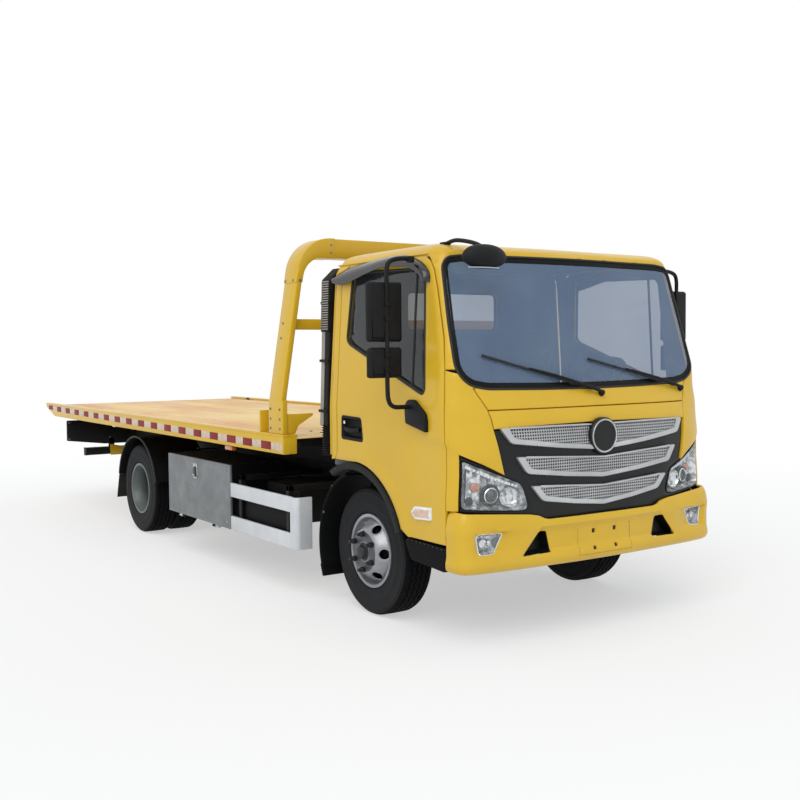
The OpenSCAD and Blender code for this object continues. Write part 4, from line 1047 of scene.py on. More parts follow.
screen_glass = pane("screen_glass", "7893b8", "88a1c0", 0.45)
dark_glass = pane("tinted_glass", "23282b", "2d3336", 0.66)
print_black = finish("printed_border", "08090a", "0d0e0f", 0.4, patch=8, grain=700, bump=0.00003, coat=0.05,
                     shine=0.12)
border = inset(SCREEN, BORDER)
screen_parts = [(skin(cab, SCREEN, depth=7, round=2, cell=40, sink=5), screen_glass),
                (skin(cab, SCREEN, [border], depth=3, round=1, cell=40, sink=3.4), print_black),
                (lip(cab, SCREEN, 7, 2), seal),
                (skin(rear, inset(REAR_GLASS, 6.0), depth=6, round=2, cell=60, sink=8), dark_glass),
                (lip(rear, REAR_GLASS, 11, 4), seal)]
piece("cab_screens", "chassis", screen_parts, ["cab_glass"])


# Wipers: two sprung steel arms in black paint on spindles through the scuttle, each with a rubber
# blade that parks along the foot of the windscreen.
ARM_SHARE, BLADE_FROM, ARM_STEPS = 0.62, 0.26, 18
wiper_parts = []
for pivot_u, pivot_z, tip_u, tip_z in ((56, 1388, -775, 1620), (781, 1396, 0, 1592)):
    t = np.linspace(BLADE_FROM, 1, 24)
    u, z = pivot_u + (tip_u - pivot_u) * t, pivot_z + (tip_z - pivot_z) * t ** 0.9
    wiper_parts.append((sweep(wall_point(u, z, -9), 7, 8), seal))
    t = np.linspace(0, ARM_SHARE, ARM_STEPS)
    u, z = pivot_u + (tip_u - pivot_u) * t, pivot_z + (tip_z - pivot_z) * t ** 0.9 + 2
    bow = -18 - 16 * np.sin(np.linspace(0.1, math.pi, ARM_STEPS))
    foot = wall_point(pivot_u, pivot_z, 0)
    hinge = wall_point(u[3], z[3], -24)
    spindle = [foot + (-6, 0, -2), foot + (14, 0, 8), foot + (24, 0, 12)]
    wiper_parts += [(sweep(wall_point(u, z, bow), np.linspace(11, 6, ARM_STEPS), 8), mould_black),
                    (sweep(spindle, [20, 18, 13], 14), mould_black),
                    (sweep([hinge + (0, 26, -4), hinge, hinge + (0, -26, 4)], [12, 15, 10], 10), mould_black)]
piece("wipers", "chassis", wiper_parts, ())


# Nose: one moulded black panel carries the grille bars and frames the head lamps; each bar is a
# bright plastic frame around a punched mesh, clipped on from behind, with a ringed disc in the middle.
MESH_PITCH = 0.034
BADGE_X, BADGE_Z = 1086, 1147


def punched(f, where, tone, dull, height):
    """Dark holes in slanting rows."""
    part = [f.node("SeparateXYZ", give=k, Vector=where) for k in (1, 2)]
    wave = [f.sum("SINE", p * (2 * math.pi / MESH_PITCH)) for p in (part[0] + part[1], part[0] - part[1])]
    hole = ramp(f, wave[0] * wave[1] * 0.5 + 0.5, 0.56, 0.64)
    return blend(f, hole, tone, rgb("26282a")), dull + hole * 0.3, height - hole * 3.0


grille_black = finish("grille_black", "0e0f11", "151618", 0.4, patch=5, grain=900, bump=0.00012, shine=0.3)
bar_silver = finish("bar_silver", "c3c5c7", "adb0b2", 0.28, metal=0.6, patch=3, grain=800, bump=0.00004,
                    coat=0.3)
bar_mesh = finish("punched_mesh", "b4b6b8", "a2a4a6", 0.4, metal=0.5, patch=4, grain=900, bump=0.0006,
                  work=punched)
chrome = finish("bright_chrome", "dfe2e4", "c4c8cb", 0.08, metal=1.0, patch=30, grain=900, bump=0.00001)
LAMP = fillet([(-959, 1050), (-925, 1036), (-880, 1016), (-710, 954), (-604, 910), (-588, 890), (-556, 792),
               (-562, 764), (-600, 757), (-905, 778), (-948, 784), (-961, 805)], 14, 4)
cheek_gap = zip(CHEEK[::-1], (0, -7, -7, -4, 0, 0, -6))
nose_right = [(0, 690), (-432, 690), (-484, 716), (-756, 742), (-969, 764)] + [
    (u + 5, z + drop) for (u, z), drop in cheek_gap] + [(-400, 1222), (0, 1227)]
nose = skin(cab, mirror_loop(nose_right), [LAMP, LAMP * (-1, 1)], depth=60, round=8, cell=30, sink=12)
grille_parts = [(nose, grille_black)]
for top_u, top_z, low_u, low_z, mid_low, mid_top in (
        (724, 1221, 660, 1132, 1064, 1219), (634, 1060, 562, 960, 905, 1028), (538, 892, 458, 800, 744, 862)):
    sag = mid_low + (low_z - mid_low) * 0.42
    bow = (top_z + mid_top) / 2
    bar = [(0, mid_low), (-low_u * 0.5, sag), (-low_u, low_z), (-top_u, top_z), (-top_u * 0.5, bow + 2),
           (0, mid_top)]
    window = [(0, mid_low + 30), (-low_u * 0.5, sag + 30), (-low_u + 26, low_z + 30),
              (-top_u + 58, top_z - 7), (-top_u * 0.5, bow - 5), (0, mid_top - 7)]
    bar, window = fillet(mirror_loop(bar), 22, 4), fillet(mirror_loop(window), 16, 4)
    grille_parts += [(skin(cab, bar, [window], depth=24, round=8, cell=24, sink=-8), bar_silver),
                     (skin(cab, inset(window, -6), depth=3, round=1, cell=30, sink=2), bar_mesh)]


def coin(rows, turns=48):
    """A round piece facing ahead, from rows of radius and reach forward of the nose."""
    a = circle(turns)
    return strip([np.stack([np.full(turns, BADGE_X + d), r * np.cos(a), BADGE_Z + r * np.sin(a)], 1)
                  for r, d in rows])


grille_parts += [(coin([(108, -6), (108, 20), (104, 25), (0.1, 27)]), grille_black),
                 (coin([(100, 22), (99, 30), (95, 33), (90, 30), (89, 22)]), bar_silver)]
piece("grille_panel", "chassis", grille_parts, ["grille"])


# Head lamps: a clear moulded cover over a silvered bucket, made bright by painted reflection, with a
# projector, an open reflector, an amber turn signal and a row of small daylight lamps along its upper edge,
# in a black housing.
BUCKET_DEEP, HOUSING_DEEP, FLUTE, FLUTE_WIDE, LAMP_FLOOR = 62, 76, 15, 22, 34
DAYLIGHTS = 15
lamp_clear = pane("lamp_cover", "e6ebef", "d6dde2", 0.1, 0.03)
# Pale and only half metallic with sharp bright patches: silvered metal with painted reflection and glints in
# its colour, also on the fog lamp cups and the lamp ledge.
bucket_and_glints = finish("lamp_bucket_and_glints", "eef0f2", "8d9398", 0.18, metal=0.5, patch=26, grain=120, bump=0.0008,
                edges=(0.42, 0.56))
lamp_black = finish("lamp_mask", "15171a", "2b2e31", 0.25, metal=0.3, patch=20, grain=500, bump=0.0001)
daylight_lens = finish("daylight_lens", "f1f4f6", "dfe4e8", 0.12, patch=40, grain=300, bump=0.0002, coat=0.5)
amber_bulb = finish("amber_bulb", "c08a74", "a0604c", 0.16, metal=0.2, patch=30, grain=260, bump=0.0004,
                    coat=0.6)


def eye_ring(u, z, rows, squash=1.0, turns=36):
    """A round or oval fitting in the lamp, from rows of radius and depth behind the wall."""
    a = circle(turns)
    return strip([wall_point(u + r * np.cos(a) * squash, z + r * np.sin(a), d) for r, d in rows])


def bowl_rows(line, rows):
    """Loops behind the wall, each drawn in from a line by so much at such a depth."""
    return [wall_point(*inset(line, k).T, d) for k, d in rows]


lamp_edge = dense(LAMP, 12)
flat, tris = fill([inset(lamp_edge, LAMP_FLOOR)], 24)
fluted = wall_point(*flat.T, BUCKET_DEEP - FLUTE * ((flat[:, 0] // FLUTE_WIDE) % 2))
bowl = strip(bowl_rows(lamp_edge, ((2, 6), (4, 24), (16, 48), (LAMP_FLOOR, BUCKET_DEEP))))
housing = strip(bowl_rows(lamp_edge, ((0, 9), (2, 30), (13, 55), (32, HOUSING_DEEP)))[::-1])
housing_floor = wall_point(*flat.T, HOUSING_DEEP), [t[::-1] for t in tris]
lamp_side = [(weld(*merge(bowl, (fluted, tris))), bucket_and_glints),
             (weld(*merge(housing, housing_floor)), mould_black),
             (skin(cab, inset(LAMP, 3), depth=4, round=3, cell=30, sink=2), lamp_clear)]
for u, z, rows, squash, material in (
        (-775, 850, [(62, 60), (60, 40), (54, 34), (50, 38), (48, 56)], 1.0, lamp_black),
        (-775, 850, [(47, 52), (44, 30), (38, 26), (34, 30)], 1.0, chrome),
        (-775, 850, [(34, 34), (30, 22), (20, 15), (8, 12), (0.2, 11.5)], 1.0, dark_glass),
        (-662, 836, [(56, 30), (52, 42), (36, 54), (16, 58), (14, 40), (0.2, 38)], 1.1, chrome),
        (-872, 898, [(25, 46), (22, 40), (14, 36), (0.2, 34)], 1.2, amber_bulb),
        (-905, 822, [(26, 50), (22, 34), (12, 30), (0.2, 29)], 1.0, lamp_black)):
    lamp_side.append((eye_ring(u, z, rows, squash), material))
for t in np.linspace(0, 1, DAYLIGHTS):
    u, z = -930 + t * 312, 1013 - t * 116 - 10 * math.sin(t * math.pi)
    lamp_side.append((eye_ring(u, z, [(8.5, 40), (8.5, 26), (6, 22), (0.2, 21)], turns=12), daylight_lens))
ledge = [(-936, 1004), (-934, 1026), (-880, 1003), (-710, 938), (-612, 899), (-604, 880), (-710, 916),
         (-880, 980)]
lamp_side.append((skin(cab, fillet(ledge, 8), depth=16, round=4, cell=26, sink=28), bucket_and_glints))
piece("head_lamps", "chassis", both_sides(lamp_side), ["headlamps"])


# Bumper: a steel pressing in cab colour wrapped round both corners, stamped with a field for the
# number plate, two air openings with black liners and two fog lamps, bolted to the rail ends.
PLATE_HALF, PLATE_LOW, PLATE_TOP, PLATE_CREASE = 212.0, 466, 622, 2
BUMPER_LOW, BUMPER_REAR = 424, 914
plan_x, plan_y = np.array([(1130, 0), (1129, 200), (1116, 450), (1104, 650), (1089, 830), (1075, 930),
                           (1055, 990), (1018, 1016), (970, 1020), (BUMPER_REAR, 1020), (800, 1020)], float).T
plan_s = np.concatenate([[0], np.cumsum(np.hypot(np.diff(plan_x), np.diff(plan_y)))])
even = np.arange(0, plan_s[-1], 10.0)
plan_x, plan_y = blur(np.interp(even, plan_s, plan_x), 3), blur(np.interp(even, plan_s, plan_y), 3)
rise_z = np.arange(400, 800, 4.0)
rise_d = blur(np.interp(rise_z, (400, 420, 430, 440, 455, 490, 508, 620, 652, 690, 740, 768, 800),
                        (-88, -52, -26, -8, -2, -2, -9, -10, -4, -9, -18, -36, -68)), 2)


def bumper(u, z):
    """The outer face of the bumper; u runs from the middle to the left along its length."""
    u, z = np.broadcast_arrays(np.asarray(u, float), np.asarray(z, float))
    a = np.abs(u)
    x, y = np.interp(a, even, plan_x), np.interp(a, even, plan_y)
    wx, wy = np.interp(a + 8, even, plan_x) - x, np.interp(a + 8, even, plan_y) - y
    length = np.maximum(np.hypot(wx, wy), 1e-6)
    vent_side = 612 - (z - 506) * 0.85
    band = ease(508, 522, z) * (1 - ease(636, 648, z)) * (1 - ease(-24, 0, a - vent_side))
    field = 1 - ease(PLATE_HALF - 4, PLATE_HALF + 4, a)
    field = field * ease(PLATE_LOW - 4, PLATE_LOW + 4, z) * (1 - ease(PLATE_TOP - 4, PLATE_TOP + 4, z))
    scoop = np.clip((a - 615) / 140, 0, 1) * (1 - ease(920, 936, a))
    scoop = scoop * ease(520, 548, z) * (1 - ease(644, 656, z))
    d = np.interp(z, rise_z, rise_d) - 15 * band - 24 * scoop + 4 * field * band
    return np.stack([x + d * wy / length, np.sign(u) * (y - d * wx / length), z], -1)


def bumper_hole(points, r):
    """An opening on the right, from places across the truck and heights."""
    return fillet([(-np.interp(-y, plan_y, even), z) for y, z in points], r, 5)


def cup(loop, depth, shrink):
    """A liner behind an opening of the bumper."""
    loop = dense(loop, 12)
    rows = ((0, 4), (shrink * 0.5, depth * 0.7), (shrink, depth))
    lines = [bumper(*inset(loop, k).T) - (d, 0, 0) for k, d in rows]
    flat, tris = fill([inset(loop, shrink)])
    return weld(*merge(strip(lines), (bumper(*flat.T) - (depth, 0, 0), tris)))


BUMPER_END = float(np.interp(-BUMPER_REAR, -plan_x, even))
VENT = bumper_hole(((-502, 632), (-440, 628), (-412, 511), (-616, 504)), 12)
FOG = bumper_hole(((-914, 648), (-738, 644), (-796, 536), (-894, 534)), 22)
TOP_LINE = [(-BUMPER_END, 762), (4 - BUMPER_END, 770), (30 - BUMPER_END, 772), (-900, 762), (-760, 752),
            (-560, 735), (-492, 722), (-462, 706), (-430, 698)]
LOW_LINE = [(0, BUMPER_LOW), (-900, BUMPER_LOW), (60 - BUMPER_END, 427), (12 - BUMPER_END, 432),
            (-BUMPER_END, 442)]
bumper_loop = fillet(mirror_loop(LOW_LINE + TOP_LINE), 16, 4)
square = [fillet(oblong(u - 13, u + 13, z - 12, z + 12), 3, 3) for u in (-85, 85) for z in (502, 597)]
openings = [VENT, VENT * (-1, 1), FOG, FOG * (-1, 1)] + square
outer, inner = panel(bumper, bumper_loop, openings, depth=16, round=5, cell=22)
bumper_parts = [(outer, yellow), (inner, chassis_black)]
for hole in square:
    flat, tris = fill([inset(hole, -1)])
    bumper_parts.append(((bumper(*flat.T) - (10, 0, 0), tris), seal))
crease = [oblong(k - PLATE_HALF, PLATE_HALF - k, PLATE_LOW + k, PLATE_TOP - k) for k in (0, PLATE_CREASE)]
pressed_shadow = finish("pressed_shadow", "9b7414", "8a6610", 0.5, patch=3)
bumper_parts.append((skin(bumper, crease[0], [crease[1]], depth=3, round=0.5, sink=-0.6), pressed_shadow))
bumper_side = [(cup(VENT, 70, 8), grille_black), (cup(FOG, 44, 16), bucket_and_glints),
               (skin(bumper, inset(FOG, 2), depth=4, round=2, sink=7), lamp_clear),
               (lip(bumper, FOG, 5, 3), chrome)]
fog_u, fog_z = FOG.mean(0)
for du, r in ((-18, 26), (26, 17)):
    a = circle(24)
    lines = [bumper(fog_u + du + k * r * np.cos(a), fog_z + k * r * np.sin(a)) - (d, 0, 0)
             for k, d in ((1, 34), (0.95, 18), (0.8, 16), (0.7, 26), (0.01, 30))]
    bumper_side.append((strip(lines), chrome))
bumper_side.append((block(880, 960, -470, -390, 470, 640, 8), chassis_black))
piece("bumper_skin", "chassis", bumper_parts + both_sides(bumper_side), ["front_bumper"])


# Doors: a pressed outer skin in cab colour on a welded frame, hung at the front edge, with a black
# pull handle and lock in a dished plate; inside are moulded arm rest, grab handle, pocket and catch.
DOOR = [(908, 580), (902, 1117), (894, 1300), (875, 1558), (846, 1720), (766, 2000), (728, 2110), (693, 2158),
        (634, 2190), (-176, 2190), (-232, 2148), (-250, 2085), (-250, 965), (-40, 965)]
DOOR_ARCH, DOOR_FOOT = 566.0, 580
WINDOW = [(-158, 1725), (-124, 1694), (664, 1413), (690, 1408), (708, 1432), (664, 2085), (632, 2118),
          (-90, 2138), (-124, 2118)]
HANDLE = [(-192, 1100), (62, 1094), (40, 1240), (-188, 1246)]
GRIP_Z, GRIP_STEPS = 1165, 12
LOCK_X, LOCK_Z = -150, 1205
DISH_DEEP, TRIM_FACE = 34, -986


def spline(points, n=8):
    """A smooth line through points."""
    p = np.array(points, float)
    p = np.concatenate([2 * p[:1] - p[1:2], p, 2 * p[-1:] - p[-2:-1]])
    t = np.linspace(0, 1, n, endpoint=False)[:, None]
    made = [0.5 * (2 * b + (c - a) * t + (2 * a - 5 * b + 4 * c - d) * t ** 2
                   + (3 * b - a - 3 * c + d) * t ** 3) for a, b, c, d in zip(p, p[1:], p[2:], p[3:])]
    return np.concatenate(made + [p[-2:-1]])


swell = [p for p in pairs(ring_arc(ARCH, DOOR_ARCH, 86, 19, 22)) if p[1] > DOOR_FOOT + 10]
door_loop = on_wall(DOOR + swell + [(560, DOOR_FOOT)])
window_loop = on_wall(fillet(WINDOW, 26, 5))
handle_loop = on_wall(fillet(HANDLE, 22, 5))
door_parts = sheet(cab, door_loop, [window_loop, handle_loop], depth=26, round=4, cell=28)
line = dense(handle_loop, 12)
dish = strip(bowl_rows(line, ((-3, -1), (4, -3), (14, 2), (24, 30), (40, DISH_DEEP))))
flat, tris = fill([inset(line, 40)])
bulge = np.sin(np.arange(GRIP_STEPS) / (GRIP_STEPS - 1) * math.pi)
grip = [wall_point(u_at(x, GRIP_Z), GRIP_Z - 8 * k, 6 - 14 * k)
        for x, k in zip(np.linspace(-150, 20, GRIP_STEPS), bulge)]
lock = wall_point(u_at(LOCK_X, LOCK_Z), LOCK_Z, -2)
door_parts += [(weld(*merge(dish, (wall_point(*flat.T, DISH_DEEP), tris))), mould_black),
               (sweep(grip, 15, 12), mould_black),
               (sweep([lock + (0, 3, 0), lock + (0, -3, 0)], 11, 16), chrome),
               (lip(cab, window_loop, 9, 3), seal)]
cover = panel(cab, inset(handle_loop, -14), depth=3, round=1, cell=30, sink=37)
door_parts += [(face, board_grey) for face in cover]
arm_rest = [(110, 1196), (560, 1186), (570, 1236), (540, 1250), (120, 1252)]
grab = [(585, -984, 1262), (585, -944, 1272), (596, -938, 1330), (606, -984, 1388)]
pocket = [(590, 660), (850, 660), (850, 790), (600, 790)]
catch = [(150, 1300), (262, 1296), (262, 1340), (150, 1344)]
door_parts += [(slab(fillet(arm_rest, 14), "y", TRIM_FACE, -930, 10), mould_black),
               (sweep(spline(grab, 6), 11, 10), mould_black),
               (slab(fillet(pocket, 16), "y", TRIM_FACE, -952, 8), mould_black),
               (slab(fillet(catch, 10), "y", TRIM_FACE, -972, 4), mould_black)]
handed("door_skin_", "door_", door_parts, ["door_"])


# Door glass: a tinted drop pane in the window frame and a slim black post that parts off the fixed
# quarter light ahead of it.
POST_REAR, POST_FRONT = 562, 576
post = on_wall([(POST_REAR, 1448), (POST_FRONT, 1443), (POST_FRONT, 2120), (POST_REAR, 2121)])
pane_parts = [(skin(cab, inset(window_loop, 5), depth=6, round=2, cell=60, sink=12), dark_glass),
              (skin(cab, post, depth=8, round=2, cell=60, sink=6), seal)]
handed("door_pane_", "door_", pane_parts, ["door_glass_"])


# Side signals: a pale moulded lens clipped low on each door behind the bumper, with a darker amber
# one proud of its middle.
SIGNAL = [(588, 726), (624, 767), (782, 775), (786, 702), (634, 692)]
signal_lens = finish("signal_lens", "e2c3b0", "d3a78f", 0.14, patch=30, grain=300, bump=0.0004, coat=0.5)
lens_loop = on_wall(fillet(SIGNAL, 9, 4))
signal_parts = [(skin(cab, lens_loop, depth=14, round=5, cell=20, sink=-13), daylight_lens),
                (skin(cab, inset(lens_loop, 15), depth=6, round=3, cell=20, sink=-16), signal_lens)]
handed("side_signal_", "door_", signal_parts, [])


# Rain visors: smoked plastic blown to a hollow curve, stuck along the top of each door window and
# standing away from the glass at their lower edge.
VISOR_THICK, VISOR_OUT, VISOR_ENDS = (0, 4, -1), 48, 16
visor_tint = pane("smoked_visor", "15171a", "1f2124", 0.9, 0.12)
visor_top = [(-345, 2119), (-290, 2150), (-170, 2176), (120, 2206), (194, 2210), (312, 2214), (453, 2206),
             (607, 2162), (690, 2110), (714, 2070), (718, 2033)]
visor_low = [(-325, 2088), (-173, 2062), (-1, 2104), (181, 2138), (312, 2146), (471, 2140), (600, 2116),
             (672, 2062), (690, 2030)]
low_t = np.linspace(0, 1, len(visor_low))
wings = []
for k, (x, z) in enumerate(visor_top):
    t = k / (len(visor_top) - 1)
    low_at, low_z = (np.interp(t, low_t, places) for places in zip(*visor_low))
    on_door = min(z, WALL_TOP - 1)
    a = cab(u_at(min(x, 712), on_door), on_door) + (0, -5, z - on_door)
    b = cab(u_at(low_at, low_z), low_z) + (0, VISOR_ENDS * abs(2 * t - 1) - VISOR_OUT, 0)
    c = (a + b) / 2 + (0, -17, 8)
    wings.append([a, (a * 2 + c * 3) / 5 + (0, -4, 2), c, (b * 2 + c * 3) / 5 + (0, -3, 2), b])
rows = [spline(row, 5) for row in np.array(wings).transpose(1, 0, 2)]
thick = [row + VISOR_THICK for row in rows]
visor = merge(*(strip(faces, False) for faces in (rows, thick, [rows[-1], thick[-1]], [rows[0], thick[0]])))
handed("rain_visor_", "door_", [(weld(*visor), visor_tint)], [])


# Door mirrors: two black moulded heads with silvered glass on a bent steel tube, clamped by blocks and
# carried by a moulded foot and a small bracket on the door frame.
STALK_X, STALK_OUT, HEAD_FRONT, HEAD_RIM, GLASS_X = 605, -1182, 600, 20, 566
mirror_face = finish("mirror_face", "aeb6bd", "9aa3aa", 0.03, metal=1.0, patch=1, grain=40, bump=0.000005)
stalk = spline([(STALK_X, y, z) for y, z in (
    (-1005, 2168), (-1060, 2172), (-1140, 2160), (-1178, 2122), (STALK_OUT, 2000), (STALK_OUT, 1700),
    (STALK_OUT, 1460), (-1174, 1372), (-1140, 1338), (-1080, 1334), (-1022, 1332))], 7)
foot_line = [(548, 1338), (582, 1374), (636, 1374), (742, 1300), (756, 1262), (756, 1194), (558, 1236)]
mirror_parts = [(sweep(stalk, 13, 12), mould_black),
                (slab(fillet(foot_line, 12), "y", -1036, -1004, 8), mould_black),
                (block(588, 622, -1040, -1000, 2150, 2186, 8), mould_black)]
for z0, z1, y0, y1 in ((1703, 2040, -1298, -1070), (1500, 1672, -1294, -1072)):
    head = fillet([(y0, z0 + 8), (y0 + 10, z0), (y1 - 8, z0), (y1, z0 + 12), (y1, z1 - 12), (y1 - 8, z1),
                   (y0 + 12, z1), (y0, z1 - 12)], 24, 5)
    edge = strip([lift(inset(head, k), "x", d) for k, d in (
        (HEAD_RIM, HEAD_FRONT), (12, 598), (4, 591), (0, 580), (2, 563), (8, 560), (12, 563))])
    flat, tris = fill([inset(head, HEAD_RIM)], 24)
    middle = np.array(((y0 + y1) / 2, (z0 + z1) / 2))
    off = (flat - middle) / ((y1 - y0) / 2 - HEAD_RIM, (z1 - z0) / 2 - HEAD_RIM)
    back = lift(flat, "x", HEAD_FRONT)
    back[:, 0] += 9 * np.clip(1 - off[:, 0] ** 2, 0, 1) * np.clip(1 - off[:, 1] ** 2, 0, 1)
    mirror_parts.append((weld(*merge(edge, (back, [t[::-1] for t in tris]))), mould_black))
    flat, tris = fill([inset(head, 11)])
    mirror_parts.append(((lift(flat, "x", GLASS_X), tris), mirror_face))
    for z in (middle[1] - 40, middle[1] + 40):
        mirror_parts.append((block(590, 622, -1200, -1164, z - 12, z + 12, 5), mould_black))
handed("mirror_set_", "door_", mirror_parts, ["mirror_"])


# Arch mouldings: flat black plastic strips that follow the wheel opening on the lower cab corner,
# held by push clips, with a short return to the inside.
TRIM_OUT, TRIM_IN, TRIM_FROM, TRIM_TO = 557, 512, 20, 121
CLIP_R, CLIPS = 535, 6


def trim_ring(outer, inner, n, lag):
    return np.concatenate([ring_arc(ARCH, outer, TRIM_FROM + lag, TRIM_TO - 3 * lag, n),
                           ring_arc(ARCH, inner, TRIM_TO - 3, TRIM_FROM + 1, n)])


trim_parts = [(slab(fillet(trim_ring(TRIM_OUT, TRIM_IN, 44, 0), 3, 2), "y", -1030, -996, 6), mould_black),
              (slab(trim_ring(TRIM_IN + 5, TRIM_IN - 2, 40, 1), "y", -1000, -958, 3), mould_black)]
for x, z in ring_arc(ARCH, CLIP_R, 30, 112, CLIPS):
    trim_parts.append((sweep([(x, -1026, z), (x, -1032, z)], [8, 6], 12), seal))
piece("arch_mouldings", "chassis", both_sides(trim_parts), ["arch_trims"])


# Seats: foam cushions and backs in woven cloth, sewn in channels, one seat for the driver and a
# double one beside it, on steel boxes that stand on the floor pan.
SEATS = (("driver", 480, 520, ()), ("mate", -220, 800, (0.0,)))
CUSHION_LONG, CUSHION_THICK, CUSHION_X, CUSHION_Z = 560, 140, 50, 1170
REST_LONG, REST_THICK, REST_X, REST_Z, REST_LEAN = 510, 104, -200, 1512, 80.5
PAD_ROWS, SQUARENESS = 26, 7


def cloth(f, where, tone, dull, height):
    """Threads crossing on all three axes."""
    weave = [f.sum("SINE", f.node("SeparateXYZ", give=k, Vector=where) * 2400.0) for k in (0, 1, 2)]
    return tone, dull, height + (weave[0] * weave[1] + weave[2]) * 0.3


def pad(size, crown_by, channels, n=PAD_ROWS):
    """A stuffed block about its own middle: crowned faces, sides drawn in, sewn channels on top."""
    t = np.linspace(-1, 1, n)
    a, b = (g.ravel() for g in np.meshgrid(t, t, indexing="ij"))
    quads = [[i * n + j, (i + 1) * n + j, (i + 1) * n + j + 1, i * n + j + 1]
             for i in range(n - 1) for j in range(n - 1)]
    parts = []
    for axis in range(3):
        for sign in (-1, 1):
            p = np.zeros((n * n, 3))
            p[:, axis] = sign
            p[:, (axis + 1) % 3], p[:, (axis + 2) % 3] = a, b
            parts.append((p, quads))
    flat, polys = weld(*merge(*parts), tol=1e-4)
    p = flat / (np.abs(flat) ** SQUARENESS).sum(1)[:, None] ** (1 / SQUARENESS)
    p[:, 0] *= 1 - 0.035 * (1 - flat[:, 1] ** 2)
    p[:, 1] *= 1 - 0.03 * (1 - flat[:, 0] ** 2)
    p = p * np.array(size) / 2
    top = np.clip(flat[:, 2], 0, 1)
    p[:, 2] += top * crown_by * (1 - flat[:, 0] ** 2) * (1 - flat[:, 1] ** 2)
    for axis, place, deep in channels:
        p[:, 2] -= top * deep * np.exp(-((flat[:, axis] - place) / 0.05) ** 2)
    return p, polys


def stand(part, at, lean=0.0):
    """A pad put in its place, leaning back by degrees about the cross axis."""
    turn_by = np.array(Matrix.Rotation(math.radians(lean), 3, "Y"))
    return np.asarray(part[0]) @ turn_by.T + at, part[1]


seat_cloth = finish("seat_cloth", "4b4e54", "3c3f44", 0.9, patch=9, grain=700, bump=0.0006, work=cloth)
for seat_name, mid, width, splits in SEATS:
    sewn = [(1, -0.62, 9), (1, 0.62, 9)]
    split = [(1, s, 16) for s in splits]
    lines = sewn + [(0, 0.1, 7), (0, -0.4, 7)] + split
    seat = stand(pad((CUSHION_LONG, width - 8, CUSHION_THICK), 26, lines), (CUSHION_X, mid, CUSHION_Z))
    cushion = piece(seat_name + "_cushion", "chassis", [(seat, seat_cloth)], (), 60)
    lines = sewn + [(0, 0.45, 7), (0, -0.1, 7)] + split
    rest = stand(pad((REST_LONG, width - 20, REST_THICK), 22, lines), (REST_X, mid, REST_Z), REST_LEAN)
    back = piece(seat_name + "_back", "chassis", [(rest, seat_cloth)], (), 60)


# Dashboard: a moulded panel from door to door with air vents, a console below it, a hood over the
# dials and the raked steering column; the steel boxes under the seats belong to the same piece.
DASH_HALF, COLUMN_Y, VENTS = 898, 480, (-620, -80, 80, 760)
VENT_LOW, LOUVRES, LOUVRE_PITCH = 1285, 4, 13
dash_skin = finish("dash_skin", "3a3c3f", "2d2f31", 0.66, patch=7, grain=1400, bump=0.0003)
dash_line = [(690, 1145), (858, 1122), (898, 1330), (842, 1388), (770, 1392), (702, 1358)]
dial_hood = [(640, 1330), (690, 1290), (760, 1385), (730, 1440), (668, 1432)]
inside = [(slab(fillet(dash_line, 34), "y", -DASH_HALF, DASH_HALF, 16), dash_skin),
          (block(718, 862, -248, 248, 905, 1146, 20), dash_skin),
          (slab(fillet(dial_hood, 16), "y", COLUMN_Y - 180, COLUMN_Y + 180, 14), dash_skin),
          (sweep([(735, COLUMN_Y, 1235), (600, COLUMN_Y, 1390)], 30, 16), dash_skin)]
for y in VENTS:
    vent = [(y - 55, VENT_LOW), (y + 55, VENT_LOW), (y + 50, VENT_LOW + 60), (y - 50, VENT_LOW + 60)]
    inside.append((slab(fillet(vent, 10), "x", 690, 704, 4), mould_black))
    for k in range(LOUVRES):
        z = VENT_LOW + 7 + LOUVRE_PITCH * k
        inside.append((block(684, 692, y - 46, y + 46, z, z + 6, 2), dash_skin))
for _, mid, width, _ in SEATS:
    reach = width / 2 - 42
    inside.append((block(-200, 300, mid - reach, mid + reach, 905, 1104, 12), chassis_black))
piece("dashboard", "chassis", inside, ["cab_interior"])


# Steering wheel: a padded black rim with finger grips on three steel spokes and a deep boss,
# pressed on the splines of the raked column.
HUB = np.array((574.0, COLUMN_Y, 1420.0))
RIM_R, RIM_RISE, FINGERS = 205, 42, 18
rake = np.array((-146.0, 0, 170.0)) / math.hypot(146, 170)
flat_x, flat_y = np.cross((0, 1.0, 0), rake), np.array((0, 1.0, 0))
wheel_grip = finish("wheel_grip", "1a1b1d", "262729", 0.58, patch=12, grain=1600, bump=0.0002)
a = np.linspace(0, 2 * math.pi, 73)
rim_path = HUB + rake * RIM_RISE + RIM_R * (np.cos(a)[:, None] * flat_x + np.sin(a)[:, None] * flat_y)
wheel_parts = [(sweep(rim_path, 15 + 1.2 * np.cos(a * FINGERS), 12), wheel_grip)]
for spoke in np.radians((30, 150, 270)):
    way = math.cos(spoke) * flat_x + math.sin(spoke) * flat_y
    bar = [HUB + rake * rise + way * r for rise, r in ((24, 20), (26, 110), (40, 200))]
    wheel_parts.append((sweep(bar, [20, 15, 12], 12), dash_skin))
wheel_parts.append((sweep([HUB + rake * d for d in (3, 30, 52, 60)], [46, 60, 58, 34], 28), dash_skin))
piece("hand_wheel", "steering_wheel", wheel_parts, ["steering_wheel"])


